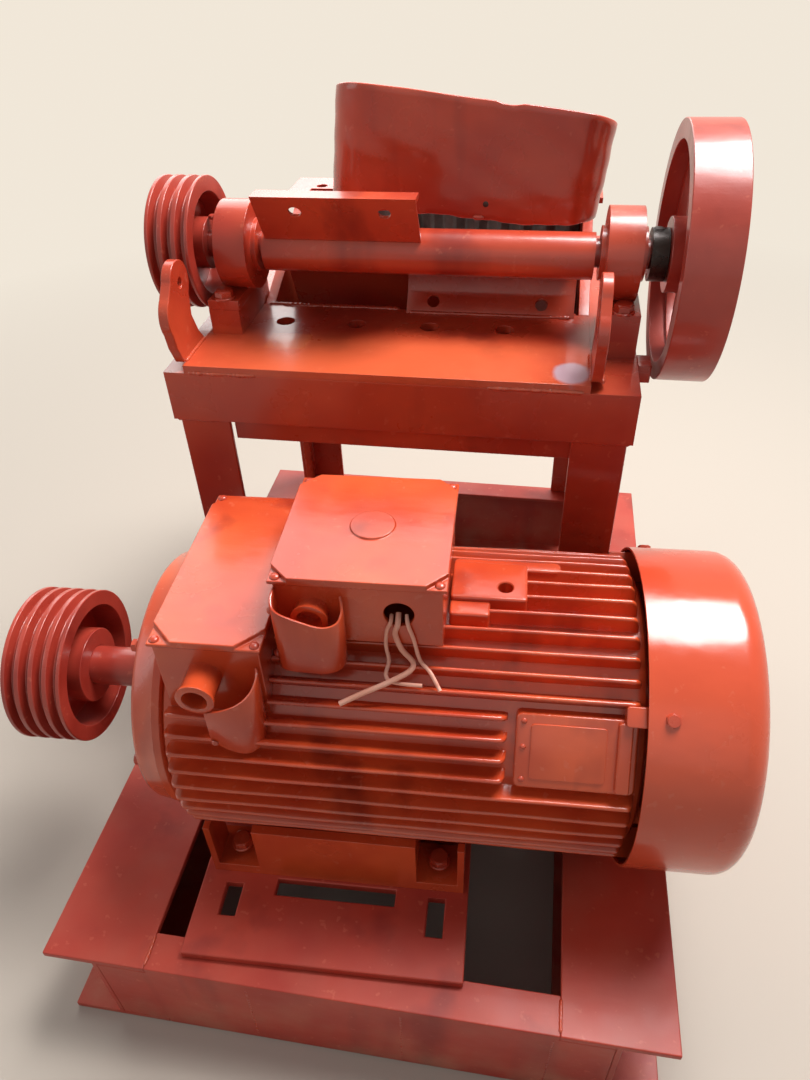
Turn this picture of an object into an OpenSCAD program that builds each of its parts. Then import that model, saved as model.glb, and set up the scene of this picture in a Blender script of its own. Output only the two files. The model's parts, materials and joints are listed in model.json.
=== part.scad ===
// Small jaw crusher on a welded stand, with its drive motor on the same base
// X runs along the shafts, Y from the motor side to the far side, Z is up
// The origin is under the front channel, at the middle of its lower flange

/* [Base] */
// Width of the base over both beams
base_w = 720; // [640:10:900]
// Width of a beam flange
beam_w = 125; // [100:5:150]
// Height of a base beam
beam_h = 150; // [100:5:200]
// Thickness of a beam flange
beam_flange = 9; // [6:1:14]
// Thickness of a beam web
beam_web = 7; // [5:1:12]
// Flange width of the cross channels
channel_w = 42; // [36:2:60]
// Thickness of the cross channels
channel_t = 6; // [4:1:10]

/* [Motor plate] */
// Width of the plate under the motor
plate_w = 324; // [300:4:400]
// Depth of the plate under the motor
plate_d = 424; // [400:4:460]
// Thickness of the plate under the motor
plate_t = 12; // [8:1:20]
// Width of the adjusting slots in the plate
slot_w = 20; // [16:1:26]
// Angle by which plate and motor stand askew on the base
motor_turn = 2.5; // [0:0.5:4]

/* [Motor] */
// Height of the motor shaft above its plate
motor_h = 188; // [180:1:220]
// Radius over the cooling ribs
rib_r = 172; // [160:1:176]
// Height of the cooling ribs
rib_h = 20; // [12:1:26]
// Thickness of a cooling rib
rib_t = 4; // [3:0.5:6]
// Number of cooling ribs around the body
rib_count = 48; // [36:2:56]
// Length of the ribbed body
body_l = 556; // [520:4:640]
// Radius of the fan cover
cover_r = 181; // [176:1:184]
// Length of the fan cover
cover_l = 118; // [90:2:130]
// Diameter of the motor shaft
motor_shaft_d = 48; // [38:1:60]
// Outer diameter of the motor pulley
motor_pulley_d = 188; // [160:2:220]
// Number of belt grooves in the motor pulley
motor_grooves = 4; // [3:1:5]
// Distance from one belt groove to the next
groove_pitch = 17; // [15:0.5:20]

/* [Stand] */
// Width of the stand beyond the crushing chamber, both sides together
stand_more = 158; // [150:2:200]
// Sideways offset of the stand on the base
stand_shift = -9; // [-9:1:0]
// Distance from the front of the base to the stand
stand_setback = 480; // [476:2:500]
// Height of the top of the stand
frame_top = 650; // [600:10:760]
// Width of the angle iron
angle_w = 65; // [50:5:75]
// Thickness of the angle iron
angle_t = 6; // [5:1:10]

/* [Crusher box] */
// Clear width of the crushing chamber
box_w = 406; // [380:2:412]
// Distance from the main shaft to the face of the fixed jaw at the top
chamber_back = 260; // [250:2:290]
// Thickness of the side plates
side_t = 14; // [10:1:14]
// Thickness of the front and rear walls
wall_t = 12; // [8:1:16]
// Thickness of the deck plate
deck_t = 10; // [8:1:16]
// Diameter of the four holes in the deck
deck_hole_d = 24; // [18:1:30]
// Distance between the holes in the deck
deck_hole_pitch = 95; // [80:1:105]
// Width of the flange on top of the front wall
flange_w = 66; // [60:2:70]
// Thickness of the flange on top of the front wall
flange_t = 8; // [6:1:12]

/* [Shaft and bearings] */
// Height of the main shaft above the stand
shaft_rise = 104; // [100:1:130]
// Distance from the front of the stand to the main shaft
shaft_in = 151; // [140:1:155]
// Diameter of the main shaft
shaft_d = 33; // [28:1:33]
// Throw of the eccentric
throw = 4; // [2:0.5:4]
// Outer diameter of the jaw barrel
barrel_d = 54; // [52:1:60]
// Bore of the jaw barrel
barrel_bore = 42; // [42:1:44]
// Radial running clearance of the shafts in their bores
run_gap = 0.1; // [0.02:0.01:0.1]
// Outer radius of a bearing housing
housing_r = 53; // [48:1:56]
// Width of a bearing housing
housing_w = 40; // [30:2:40]
// Thickness of the bearing feet
foot_t = 12; // [8:1:16]

/* [Pulley and flywheel] */
// Outer diameter of the crusher pulley
pulley_d = 158; // [140:2:180]
// Number of belt grooves in the crusher pulley
pulley_grooves = 3; // [2:1:4]
// Outer diameter of the flywheel
fly_d = 286; // [240:2:320]
// Width of the flywheel rim
fly_w = 57; // [40:1:70]
// Thickness of the flywheel rim
fly_rim = 21; // [14:1:30]
// Number of flywheel spokes
spoke_count = 5; // [4:1:6]
// Width of a flywheel spoke
spoke_w = 34; // [24:2:40]

/* [Jaws] */
// Gap at the top between the jaw liners
feed_gap = 150; // [130:2:160]
// Gap at the bottom between the jaw liners
outlet_gap = 27; // [20:1:40]
// Thickness of a jaw liner without its teeth
liner_t = 14; // [10:1:18]
// Height of the liner teeth
tooth_h = 8; // [5:1:10]
// Number of teeth across a liner
tooth_count = 12; // [8:1:16]

/* [Hopper] */
// Width of the feed hopper
hopper_w = 345; // [320:5:350]
// Depth of the feed hopper
hopper_d = 200; // [180:5:210]
// Height of the hopper at its middle
hopper_h = 158; // [120:2:220]
// Thickness of the hopper sheet
hopper_t = 4; // [3:0.5:6]
// Height by which the hopper is lower at its far side
hopper_drop = 72; // [0:4:88]
// Lean of the hopper to the flywheel side
hopper_lean = 6.8; // [0:0.2:8]

/* [Hidden] */
front = -channel_w / 2;
web_x = base_w / 2 - beam_w / 2;
inner_x = base_w / 2 - beam_w;
stand_w = box_w + stand_more;
deck_y = front + stand_setback;
side_out = box_w / 2 + side_t;
shaft_y = deck_y + shaft_in;
shaft_z = frame_top + shaft_rise;
fixed_tip = shaft_y + chamber_back;
wall_y = fixed_tip + wall_t + liner_t + tooth_h;
back = wall_y + angle_w + 10;
base_d = back - front;
jaw_top_z = shaft_z - 12;
jaw_low_z = jaw_top_z - 250;
jaw_top_y = fixed_tip - feed_gap;
jaw_low_y = fixed_tip - outlet_gap;
jaw_lean = atan2(jaw_low_y - jaw_top_y, jaw_top_z - jaw_low_z);
jaw_l = sqrt(pow(jaw_low_y - jaw_top_y, 2) + pow(jaw_top_z - jaw_low_z, 2));
jaw_w = box_w - 20;
barrel_land = 60;
face_back = (liner_t + tooth_h + 0.02) * [cos(jaw_lean), sin(jaw_lean)];
back_top = [jaw_top_y - 38, jaw_top_z - 22];
back_low = [jaw_low_y - 50, jaw_low_z - 26];
back_slope = (back_low.x - back_top.x) / (back_top.y - back_low.y);
toggle_slope = 16;
toggle_y = shaft_y - 3;
toggle_z = frame_top - 110;
toggle_l = (back_top.x - toggle_y + back_slope * (back_top.y - toggle_z))
  / (cos(toggle_slope) - back_slope * sin(toggle_slope)) - 18;
ecc_d = barrel_bore - 2 * run_gap;
left_bearing_x = -box_w / 2 - 19;
right_bearing_x = box_w / 2 + 41;
left_foot_x = -box_w / 2 - 34;
right_foot_x = box_w / 2 + 47;
foot_w = 40;
foot_l = 122;
foot_z = shaft_z - housing_r + 3;
barrel_left = left_bearing_x + housing_w / 2 + 12;
barrel_right = right_bearing_x - housing_w / 2 - 12;
motor_y = deck_y - 196;
motor_z = beam_h + plate_t + motor_h;
body_left = -270;
body_right = body_left + body_l;
core_r = rib_r - rib_h;
motor_pulley_w = motor_grooves * groove_pitch + 4;
motor_pulley_right = -360;
pulley_w = pulley_grooves * groove_pitch + 3;
pulley_right = -box_w / 2 - 59;
fly_left = right_bearing_x + 51;
deck_left = -side_out - 47;
deck_d = shaft_in + 36;
feet_y = 128;
foot_base = 16;
foot_bolt_x = 122;
rib_step = 360 / rib_count;
fan_x = body_right + 48;
seat_gap = 0.3;
box_x = 82;
box_front = -87;
box_back = 77;
box_top = 590;
box_low = 516;
neck_x = 60;
neck_y = 64;
cover_t = 3;
cover_bend_r = 26;
pad_w = 78;
side_box_left = -202;
side_box_right = -94;
side_box_front = -124;
side_box_back = 116;
side_box_top = 532;
side_entry_z = 492;
hole_x = 39;
hole_z = 556;
// Where the loose lead wires run, beside the motor axis at floor level
long_route = [[38, -81, 553], [38, -90.2, 546], [35, -90.4, 533], [41, -91, 512],
  [52, -95, 500], [50, -104, 496], [29, -116, 490], [6, -123.5, 481.5], [-18, -130.5, 470.5]];
middle_route = [[31, -81, 550], [31, -88.6, 547], [27, -89.6, 537], [25, -89.6, 515], [28, -94, 498],
  [26, -106, 490], [34, -111.5, 486], [63, -112.5, 485]];
short_route = [[46, -81, 551], [48, -89.4, 545], [53, -89.8, 527], [59, -92, 499],
  [70, -102, 494], [81, -115.5, 482.5]];

// Round bar along X from x0 to x1
module bar_x(x0, x1, d) {
  translate([x0, 0, 0])
    rotate([0, 90, 0])
      cylinder(h = x1 - x0, d = d, $fn = 96);
}

// Plate with a side view drawn in Y and Z, from x0 to x1
module side_view(x0, x1) {
  translate([x0, 0, 0])
    rotate([90, 0, 90])
      linear_extrude(height = x1 - x0)
        children();
}

// Things that stand with the motor
module at_motor() {
  translate([0, motor_y, 0])
    rotate([0, 0, motor_turn])
      children();
}

// Things around the motor axis
module on_motor_axis() {
  at_motor()
    translate([0, 0, motor_z])
      children();
}

// Things around the main shaft
module on_shaft() {
  translate([0, shaft_y, shaft_z])
    children();
}

module beam_section() {
  polygon([
    [-beam_w / 2, 0], [beam_w / 2, 0], [beam_w / 2, beam_flange],
    [beam_web / 2, beam_flange], [beam_web / 2, beam_h - beam_flange],
    [beam_w / 2, beam_h - beam_flange], [beam_w / 2, beam_h],
    [-beam_w / 2, beam_h], [-beam_w / 2, beam_h - beam_flange],
    [-beam_web / 2, beam_h - beam_flange], [-beam_web / 2, beam_flange],
    [-beam_w / 2, beam_flange]]);
}

module base_beam(x) {
  color("orangered")
    translate([x, back, 0])
      rotate([90, 0, 0])
        linear_extrude(height = base_d)
          beam_section();
}

module base_beam_left() {
  base_beam(-web_x);
}

module base_beam_right() {
  base_beam(web_x);
}

// Channel section with its web at y = 0 and its flanges to +Y
module channel_section() {
  polygon([
    [0, 0], [channel_w, 0], [channel_w, channel_t], [channel_t, channel_t],
    [channel_t, beam_h - channel_t], [channel_w, beam_h - channel_t],
    [channel_w, beam_h], [0, beam_h]]);
}

module front_channel() {
  color("orangered")
    translate([0, front, 0]) {
      side_view(-inner_x, inner_x)
        channel_section();
      for (s = [-1, 1])
        translate([s * (inner_x + web_x - beam_web / 2) / 2, channel_t / 2, beam_h / 2])
          cube([web_x - beam_web / 2 - inner_x, channel_t, beam_h - 2 * beam_flange],
            center = true);
    }
}

module middle_channel() {
  color("orangered")
    translate([0, motor_y + 112, 0])
      side_view(-inner_x, inner_x)
        channel_section();
}

module rear_channel() {
  color("orangered")
    translate([0, back, 0])
      mirror([0, 1, 0])
        side_view(-inner_x, inner_x)
          channel_section();
}

// Square ended slot through the motor plate, long way at angle a
module plate_slot(x, y, l, a) {
  translate([x, y, beam_h + plate_t / 2])
    rotate([0, 0, a])
      cube([l, slot_w, plate_t + 2], center = true);
}

module motor_plate() {
  color("orangered")
    at_motor()
      difference() {
        translate([-207, -256, beam_h])
          cube([plate_w, plate_d, plate_t]);
        plate_slot(-42, -168, 145, 0);
        plate_slot(-166, -188, 40, 90);
        plate_slot(80, -186, 46, 90);
      }
}

module motor_feet() {
  color("orangered")
    at_motor()
      for (s = [-1, 1])
        difference() {
          union() {
            translate([-195, s * feet_y - 26, beam_h + plate_t])
              cube([306, 52, foot_base]);
            translate([-137, s * feet_y - 26, beam_h + plate_t])
              cube([192, 46, 92]);
            for (x = [-195, 103])
              translate([x, s * feet_y - 26, beam_h + plate_t])
                cube([8, 40, 92]);
          }
          for (t = [-1, 1])
            translate([-42 + t * foot_bolt_x, s * feet_y, beam_h + plate_t - 1])
              cylinder(h = foot_base + 2, d = 15, $fn = 48);
          translate([0, 0, motor_z])
            bar_x(-400, 400, 2 * rib_r + 2 * seat_gap);
        }
}

module motor_body() {
  color("orangered")
    on_motor_axis()
      difference() {
        union() {
          bar_x(body_left, body_right, 2 * core_r);
          difference() {
            for (i = [0 : rib_count - 1])
              rotate([(i + 0.5) * rib_step, 0, 0])
                translate([body_left + 8, -rib_t / 2, core_r - 6])
                  cube([body_l - 16, rib_t, rib_h + 6]);
            box_room(-neck_x, neck_x, -neck_y, neck_y);
            box_room(side_box_left, side_box_right, side_box_front, side_box_back);
            rotate([60, 0, 0])
              translate([149, -pad_w / 2, core_r + 1])
                cube([body_l, pad_w, rib_h + 10]);
            translate([-box_x - 1, box_front - 1, box_low - motor_z - 1])
              cube([2 * box_x + 2, box_back - box_front + 2, rib_h + 10]);
          }
          translate([84, -22, core_r - 20])
            cube([80, 58, rib_h + 21]);
          translate([84, -40, core_r - 20])
            cube([42, 20, rib_h + 16]);
          rotate([60, 0, 0])
            translate([157, -pad_w / 2, core_r - 20])
              cube([body_right - 10 - 157, pad_w, rib_h + 10]);
          for (i = [0 : 3])
            rotate([45 + i * 90, 0, 0])
              translate([body_right - 24, -10, core_r - 12])
                cube([54, 20, cover_r - cover_t - seat_gap - core_r + 12]);
        }
        bar_x(body_left - 1, body_left + 46, 2 * core_r - 30);
        bar_x(body_right - 40, body_right + 1, 2 * core_r - 30);
        bar_x(body_left - 1, body_right - 60, 90);
        bar_x(body_left - 1, body_right + 1, motor_shaft_d + 2 * run_gap);
        translate([141, -3, rib_r - 24])
          cylinder(h = 30, d = 16, $fn = 48);
      }
}

// Room in the ribs for the foot of a terminal box
module box_room(x0, x1, y0, y1) {
  translate([x0 - seat_gap, y0 - seat_gap, 0])
    cube([x1 - x0 + 2 * seat_gap, y1 - y0 + 2 * seat_gap, rib_r + 10]);
}

module drive_end_shield() {
  color("orangered")
    on_motor_axis()
      translate([body_left, 0, 0])
        rotate([0, -90, 0])
          rotate_extrude($fn = 120)
            polygon([
              [motor_shaft_d / 2 + run_gap, 0], [rib_r - 6, 0], [rib_r - 2, 4],
              [rib_r - 2, 10], [rib_r - 10, 20], [core_r - 30, 30], [70, 36], [60, 44],
              [motor_shaft_d / 2 + run_gap, 44]]);
}

// Rounded edge of the fan cover in steps of a, starting at angle a0
function cover_bend(r, a0, a) = [
  for (i = [0 : 6])
    [cover_r - cover_bend_r + r * cos(a0 + i * a), cover_l - cover_bend_r + r * sin(a0 + i * a)]];

module fan_cover() {
  color("orangered")
    on_motor_axis()
      translate([body_right - 5, 0, 0])
        rotate([0, 90, 0])
          difference() {
            rotate_extrude($fn = 120)
              polygon(concat(
                [[cover_r - cover_t, 0], [cover_r, 0]], cover_bend(cover_bend_r, 0, 15),
                [[22, cover_l], [22, cover_l - cover_t]],
                cover_bend(cover_bend_r - cover_t, 90, -15)));
            for (r = [45, 70, 95, 120])
              for (i = [0 : 3])
                rotate([0, 0, i * 90 + r])
                  translate([r, 0, cover_l - 4])
                    cylinder(h = 6, d = 14, $fn = 32);
          }
}

module cooling_fan() {
  color("dimgray")
    on_motor_axis()
      translate([fan_x, 0, 0])
        rotate([0, 90, 0])
          difference() {
            union() {
              cylinder(h = 34, d = 70, $fn = 64);
              cylinder(h = 5, d = 250, $fn = 96);
              for (i = [0 : 6])
                rotate([0, 0, i * 360 / 7])
                  translate([30, -2, 0])
                    cube([110, 4, 32]);
            }
            translate([0, 0, -1])
              cylinder(h = 36, d = motor_shaft_d - 8, $fn = 64);
          }
}

module motor_shaft() {
  color("silver")
    on_motor_axis() {
      bar_x(motor_pulley_right - motor_pulley_w + 6, body_right - 20, motor_shaft_d);
      bar_x(body_right - 21, fan_x + 38, motor_shaft_d - 8);
    }
}

// Grooved rim, hub and web of a belt pulley, its right face at z = 0
module belt_pulley(d, w, n, pitch, bore, hub_d, hub_l, web_z) {
  groove = pitch * 0.62;
  deep = pitch * 0.62;
  rim = deep + 8;
  difference() {
    union() {
      difference() {
        cylinder(h = w, d = d, $fn = 120);
        translate([0, 0, -1])
          cylinder(h = w + 2, d = d - 2 * rim, $fn = 120);
        for (i = [0 : n - 1])
          translate([0, 0, (w - n * pitch) / 2 + (i + 0.5) * pitch])
            rotate_extrude($fn = 120)
              polygon([
                [d / 2 + 1, -groove / 2 - 0.6], [d / 2 + 1, groove / 2 + 0.6],
                [d / 2 - deep, groove / 4], [d / 2 - deep, -groove / 4]]);
      }
      translate([0, 0, web_z])
        cylinder(h = 12, d = d - 2 * rim + 2, $fn = 120);
      translate([0, 0, web_z + 12 - hub_l])
        cylinder(h = hub_l, d = hub_d, $fn = 96);
    }
    translate([0, 0, -200])
      cylinder(h = 400, d = bore, $fn = 96);
    for (i = [0 : 3])
      rotate([0, 0, 45 + i * 90])
        translate([(d / 2 - rim + hub_d / 2) / 2, 0, web_z - 1])
          cylinder(h = 14, d = (d / 2 - rim - hub_d / 2) * 0.7, $fn = 48);
  }
}

module motor_pulley() {
  color("orangered")
    on_motor_axis()
      translate([motor_pulley_right, 0, 0])
        rotate([0, -90, 0])
          belt_pulley(motor_pulley_d, motor_pulley_w, motor_grooves, groove_pitch,
            motor_shaft_d, 92, 50, 38);
}

// Hollow box between two corners, open at the bottom of its foot
module main_box_form() {
  difference() {
    union() {
      translate([-box_x, box_front, box_low])
        cube([2 * box_x, box_back - box_front, box_top - box_low]);
      translate([-neck_x, -neck_y, box_low - 60])
        cube([2 * neck_x, 2 * neck_y, 61]);
    }
    translate([-box_x + 5, box_front + 5, box_low + 5])
      cube([2 * box_x - 10, box_back - box_front - 10, box_top - box_low]);
    translate([hole_x, box_front + 20, hole_z])
      rotate([90, 0, 0])
        cylinder(h = 40, d = 30, $fn = 48);
    translate([0, 0, motor_z])
      bar_x(-400, 400, 2 * core_r + 2 * seat_gap);
  }
}

module main_terminal_box() {
  color("orangered")
    at_motor()
      main_box_form();
}

// Lid whose four corners are stepped down for the screws
module box_lid(x0, x1, y0, y1, z, cut) {
  translate([x0, y0, z])
    cube([x1 - x0, y1 - y0, 4]);
  translate([0, 0, z + 3])
    linear_extrude(height = 6)
      polygon([
        [x0 + cut, y0], [x1 - cut, y0], [x1, y0 + cut], [x1, y1 - cut],
        [x1 - cut, y1], [x0 + cut, y1], [x0, y1 - cut], [x0, y0 + cut]]);
}

module main_box_lid() {
  color("orangered")
    at_motor() {
      box_lid(-box_x - 4, box_x + 4, box_front - 4, box_back + 4, box_top, 20);
      translate([4, -5, box_top + 8])
        cylinder(h = 3, d = 46, $fn = 64);
    }
}

module side_terminal_box() {
  color("orangered")
    at_motor()
      difference() {
        translate([side_box_left, side_box_front, motor_z + 40])
          cube([side_box_right - side_box_left, side_box_back - side_box_front,
            side_box_top - motor_z - 40]);
        translate([side_box_left + 5, side_box_front + 5, motor_z])
          cube([side_box_right - side_box_left - 10, side_box_back - side_box_front - 10,
            side_box_top - motor_z + 1]);
        translate([side_box_left + 47, side_box_front + 20, side_entry_z])
          rotate([90, 0, 0])
            cylinder(h = 40, d = 24, $fn = 48);
        translate([0, 0, motor_z])
          bar_x(-400, 400, 2 * core_r + 2 * seat_gap);
      }
}

module side_box_lid() {
  color("orangered")
    at_motor()
      intersection() {
        box_lid(side_box_left - 4, side_box_right + 3, side_box_front - 4,
          side_box_back + 4, side_box_top, 26);
        side_view(side_box_left - 4, side_box_right + 3)
          polygon([
            [side_box_front - 4, side_box_top], [side_box_back + 4, side_box_top],
            [side_box_back + 4, side_box_top + 3], [side_box_back - 18, side_box_top + 9],
            [side_box_front - 4, side_box_top + 9]]);
      }
}

// Bent sheet around a cable entry, its back edges on the face at y = 0
module entry_hood(w, d, h, lean) {
  difference() {
    linear_extrude(height = h)
      difference() {
        polygon([
          [0, 0], [2, -d + 6], [8, -d], [w - 12, -d], [w - 3, -d + 8], [w, -d + 18],
          [w - 4, 0]]);
        polygon([
          [3, 1], [5, -d + 7], [9, -d + 3], [w - 13, -d + 3], [w - 6, -d + 9],
          [w - 3.2, -d + 18], [w - 7, 1]]);
      }
    translate([-1, -d - 1, h])
      rotate([0, lean, 0])
        cube([2 * w, d + 2, h]);
  }
}

// Short tube out of a face at y = 0
module entry_tube(l, d, bore) {
  rotate([90, 0, 0])
    difference() {
      cylinder(h = l, d = d, $fn = 48);
      translate([0, 0, -1])
        cylinder(h = l + 2, d = bore, $fn = 48);
    }
}

module cable_clamps() {
  color("orangered")
    at_motor()
      difference() {
        union() {
          translate([-box_x, box_front, box_low - 16])
            entry_hood(68, 30, 86, 9);
          translate([-46, box_front, hole_z])
            entry_tube(16, 34, 24);
          translate([side_box_left + 47, side_box_front, side_entry_z])
            entry_tube(34, 36, 24);
          translate([side_box_left + 68, side_box_front, side_entry_z - 60])
            entry_hood(40, 34, 76, 12);
        }
        translate([0, 0, motor_z])
          bar_x(-400, 400, 2 * rib_r + 2 * seat_gap);
      }
}

// Point on a smooth route between p1 and p2, t from 0 to 1
function smooth_point(p0, p1, p2, p3, t) =
  0.5 * (2 * p1 + (p2 - p0) * t + (2 * p0 - 5 * p1 + 4 * p2 - p3) * t * t
  + (3 * p1 - p0 - 3 * p2 + p3) * t * t * t);

// Smooth line through the points of a route, n steps between two points
function smooth_route(p, n) = [
  for (i = [0 : len(p) - 2])
    for (k = [0 : n - 1])
      smooth_point(p[max(i - 1, 0)], p[i], p[i + 1], p[min(i + 2, len(p) - 1)], k / n),
  p[len(p) - 1]];

function unit(v) = v / norm(v);

// Direction of a line at its point i
function along(p, i) = unit(p[min(i + 1, len(p) - 1)] - p[max(i - 1, 0)]);

// Round wire of diameter d swept along a line
module wire(p, d, sides) {
  lean = [1, -1, 1];
  points = [
    for (i = [0 : len(p) - 1])
      let (t = along(p, i), a = unit(cross(t, lean)), b = cross(t, a))
        for (k = [0 : sides - 1])
          p[i] + d / 2 * (cos(k * 360 / sides) * a + sin(k * 360 / sides) * b)];
  last = (len(p) - 1) * sides;
  faces = concat(
    [[for (k = [0 : sides - 1]) k]],
    [[for (k = [sides - 1 : -1 : 0]) last + k]],
    [for (i = [0 : len(p) - 2])
      for (k = [0 : sides - 1])
        [i * sides + k, (i + 1) * sides + k, (i + 1) * sides + (k + 1) % sides]],
    [for (i = [0 : len(p) - 2])
      for (k = [0 : sides - 1])
        [i * sides + k, (i + 1) * sides + (k + 1) % sides, i * sides + (k + 1) % sides]]);
  polyhedron(points = points, faces = faces);
}

module lead_wire_long() {
  color("orangered")
    at_motor()
      wire(smooth_route(long_route, 3), 5.6, 8);
}

module lead_wire_middle() {
  color("orangered")
    at_motor()
      wire(smooth_route(middle_route, 3), 4, 8);
}

module lead_wire_short() {
  color("orangered")
    at_motor()
      wire(smooth_route(short_route, 3), 4, 8);
}

module angle_leg(sx, y, sy) {
  translate([stand_shift + sx * (stand_w / 2 - angle_t), y, beam_h])
    mirror([sx > 0 ? 1 : 0, 0, 0])
      mirror([0, sy > 0 ? 1 : 0, 0])
        linear_extrude(height = frame_top - angle_t - beam_h)
          polygon([
            [0, 0], [angle_w, 0], [angle_w, angle_t], [angle_t, angle_t],
            [angle_t, angle_w], [0, angle_w]]);
}

module legs() {
  color("orangered")
    for (s = [-1, 1]) {
      angle_leg(s, deck_y + angle_t, -1);
      angle_leg(s, back - angle_t, 1);
    }
}

module top_frame() {
  color("orangered")
    difference() {
      frame_block(0, 0, angle_w);
      frame_block(angle_t, -1, angle_w - angle_t);
      frame_block(angle_w, -1, angle_w + 1);
      translate([-side_out, deck_y + angle_w - 1, frame_top - angle_w])
        cube([2 * side_out, wall_y - deck_y - angle_w + 1, angle_w + 1]);
    }
}

// Block as wide and deep as the stand less an inset, from low to high below its top
module frame_block(inset, low, high) {
  translate([stand_shift - stand_w / 2 + inset, deck_y + inset, frame_top - angle_w + low])
    cube([stand_w - 2 * inset, back - deck_y - 2 * inset, high - low]);
}

module side_plate_shape() {
  polygon([
    [deck_y + 2 * angle_t + wall_t, frame_top - angle_t],
    [deck_y + angle_w, frame_top - angle_t], [deck_y + angle_w, frame_top],
    [deck_y + deck_d, frame_top], [deck_y + deck_d, frame_top + deck_t],
    [wall_y - flange_w + 12, jaw_top_z], [wall_y, jaw_top_z],
    [wall_y, frame_top - 180], [deck_y + 280, frame_top - 180],
    [deck_y + 2 * angle_t + wall_t, frame_top - 94]]);
}

module side_plate_left() {
  color("orangered")
    side_view(-side_out, -box_w / 2)
      side_plate_shape();
}

module side_plate_right() {
  color("orangered")
    side_view(box_w / 2, side_out)
      side_plate_shape();
}

module rear_wall() {
  color("orangered")
    translate([-side_out, deck_y + 2 * angle_t, frame_top - 96])
      cube([2 * side_out, wall_t, 96 - angle_t]);
}

module deck_plate() {
  color("orangered")
    difference() {
      translate([deck_left, deck_y, frame_top])
        cube([side_out - deck_left, deck_d, deck_t]);
      for (i = [0 : 3])
        translate([-31 + (i - 1.5) * deck_hole_pitch, deck_y + 135, frame_top - 1])
          cylinder(h = deck_t + 2, d = deck_hole_d, $fn = 64);
    }
}

module front_wall() {
  color("orangered")
    difference() {
      union() {
        translate([-box_w / 2, wall_y - wall_t, frame_top - 180])
          cube([box_w, wall_t, jaw_top_z - frame_top + 180]);
        translate([-side_out - 12, wall_y - flange_w, jaw_top_z])
          cube([2 * side_out + 24, flange_w + 10, flange_t]);
      }
      translate([-184, wall_y - 31, jaw_top_z - 1])
        cylinder(h = flange_t + 2, d = 16, $fn = 48);
      translate([-box_w / 2 + 6, wall_y - flange_w - 1, jaw_top_z - 1])
        cube([box_w - 12, flange_w - wall_t - liner_t - tooth_h - 10, flange_t + 2]);
    }
}

// Upright ridges across a liner, teeth to -Y
module liner_section(w, n) {
  p = w / n;
  union() {
    translate([-w / 2, 0])
      square([w, liner_t]);
    for (i = [0 : n - 1])
      polygon([
        [-w / 2 + i * p + 1, 0.5], [-w / 2 + (i + 0.5) * p - 3, -tooth_h],
        [-w / 2 + (i + 0.5) * p + 3, -tooth_h], [-w / 2 + (i + 1) * p - 1, 0.5]]);
  }
}

module fixed_jaw_liner() {
  color("dimgray")
    translate([0, wall_y - wall_t - liner_t, frame_top - 176])
      linear_extrude(height = jaw_top_z - frame_top + 172)
        liner_section(box_w - 4, tooth_count);
}

module ear_shape() {
  difference() {
    union() {
      polygon([
        [9, deck_t], [78, deck_t], [65, 26], [54, 51], [58, 76], [64, 96],
        [19, 108], [3, 91], [-8, 62], [-2, 32]]);
      translate([40, 96])
        circle(r = 26, $fn = 64);
      translate([20, 66])
        circle(r = 30, $fn = 64);
    }
    translate([40, 96])
      circle(r = 6, $fn = 48);
  }
}

module ears() {
  color("orangered")
    translate([0, deck_y, frame_top]) {
      side_view(deck_left - 12, deck_left)
        ear_shape();
      side_view(side_out, side_out + 12)
        ear_shape();
    }
}

module bearing_housing(x, fx) {
  difference() {
    union() {
      on_shaft()
        bar_x(x - housing_w / 2, x + housing_w / 2, 2 * housing_r);
      on_shaft()
        bar_x(x - housing_w / 2 - 6, x + housing_w / 2 + 6, 62);
      translate([fx - foot_w / 2, shaft_y - foot_l / 2, foot_z - foot_t])
        cube([foot_w, foot_l, foot_t]);
    }
    on_shaft()
      bar_x(x - 60, x + 60, shaft_d + 2 * run_gap);
    translate([fx, shaft_y - foot_l / 2 + 10, foot_z - foot_t - 1])
      cylinder(h = foot_t + 2, d = 13, $fn = 48);
    translate([fx, shaft_y + foot_l / 2 - 10, foot_z - foot_t - 1])
      cylinder(h = foot_t + 2, d = 13, $fn = 48);
    translate([fx - foot_w, shaft_y - housing_r - 1, foot_z - foot_t - 40])
      cube([2 * foot_w, 2 * housing_r + 2, 40]);
  }
}

module bearing_housing_left() {
  color("orangered")
    bearing_housing(left_bearing_x, left_foot_x);
}

module bearing_housing_right() {
  color("orangered")
    bearing_housing(right_bearing_x, right_foot_x);
}

module bearing_pedestals() {
  color("orangered")
    difference() {
      union() {
        translate([left_foot_x - foot_w / 2, shaft_y - foot_l / 2, frame_top])
          cube([foot_w - 1, foot_l, foot_z - foot_t - frame_top]);
        translate([right_foot_x - foot_w / 2, shaft_y - foot_l / 2, frame_top])
          cube([foot_w, foot_l, foot_z - foot_t - frame_top]);
      }
      translate([deck_left - 1, deck_y, frame_top - 1])
        cube([side_out - deck_left + 1, deck_d, deck_t + 1]);
      for (x = [left_foot_x, right_foot_x])
        for (s = [-1, 1])
          translate([x, shaft_y + s * (foot_l / 2 - 10), frame_top - 1])
            cylinder(h = foot_z - frame_top, d = 12, $fn = 48);
    }
}

module eccentric_shaft() {
  color("silver")
    on_shaft() {
      bar_x(pulley_right - pulley_w - 4, fly_left + fly_w + 20, shaft_d);
      translate([0, 0, -throw])
        bar_x(barrel_left, barrel_right, ecc_d);
    }
}

module crusher_pulley() {
  color("orangered")
    on_shaft()
      translate([pulley_right, 0, 0])
        rotate([0, -90, 0])
          belt_pulley(pulley_d, pulley_w, pulley_grooves, groove_pitch, shaft_d, 62,
            38, 26);
}

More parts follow.
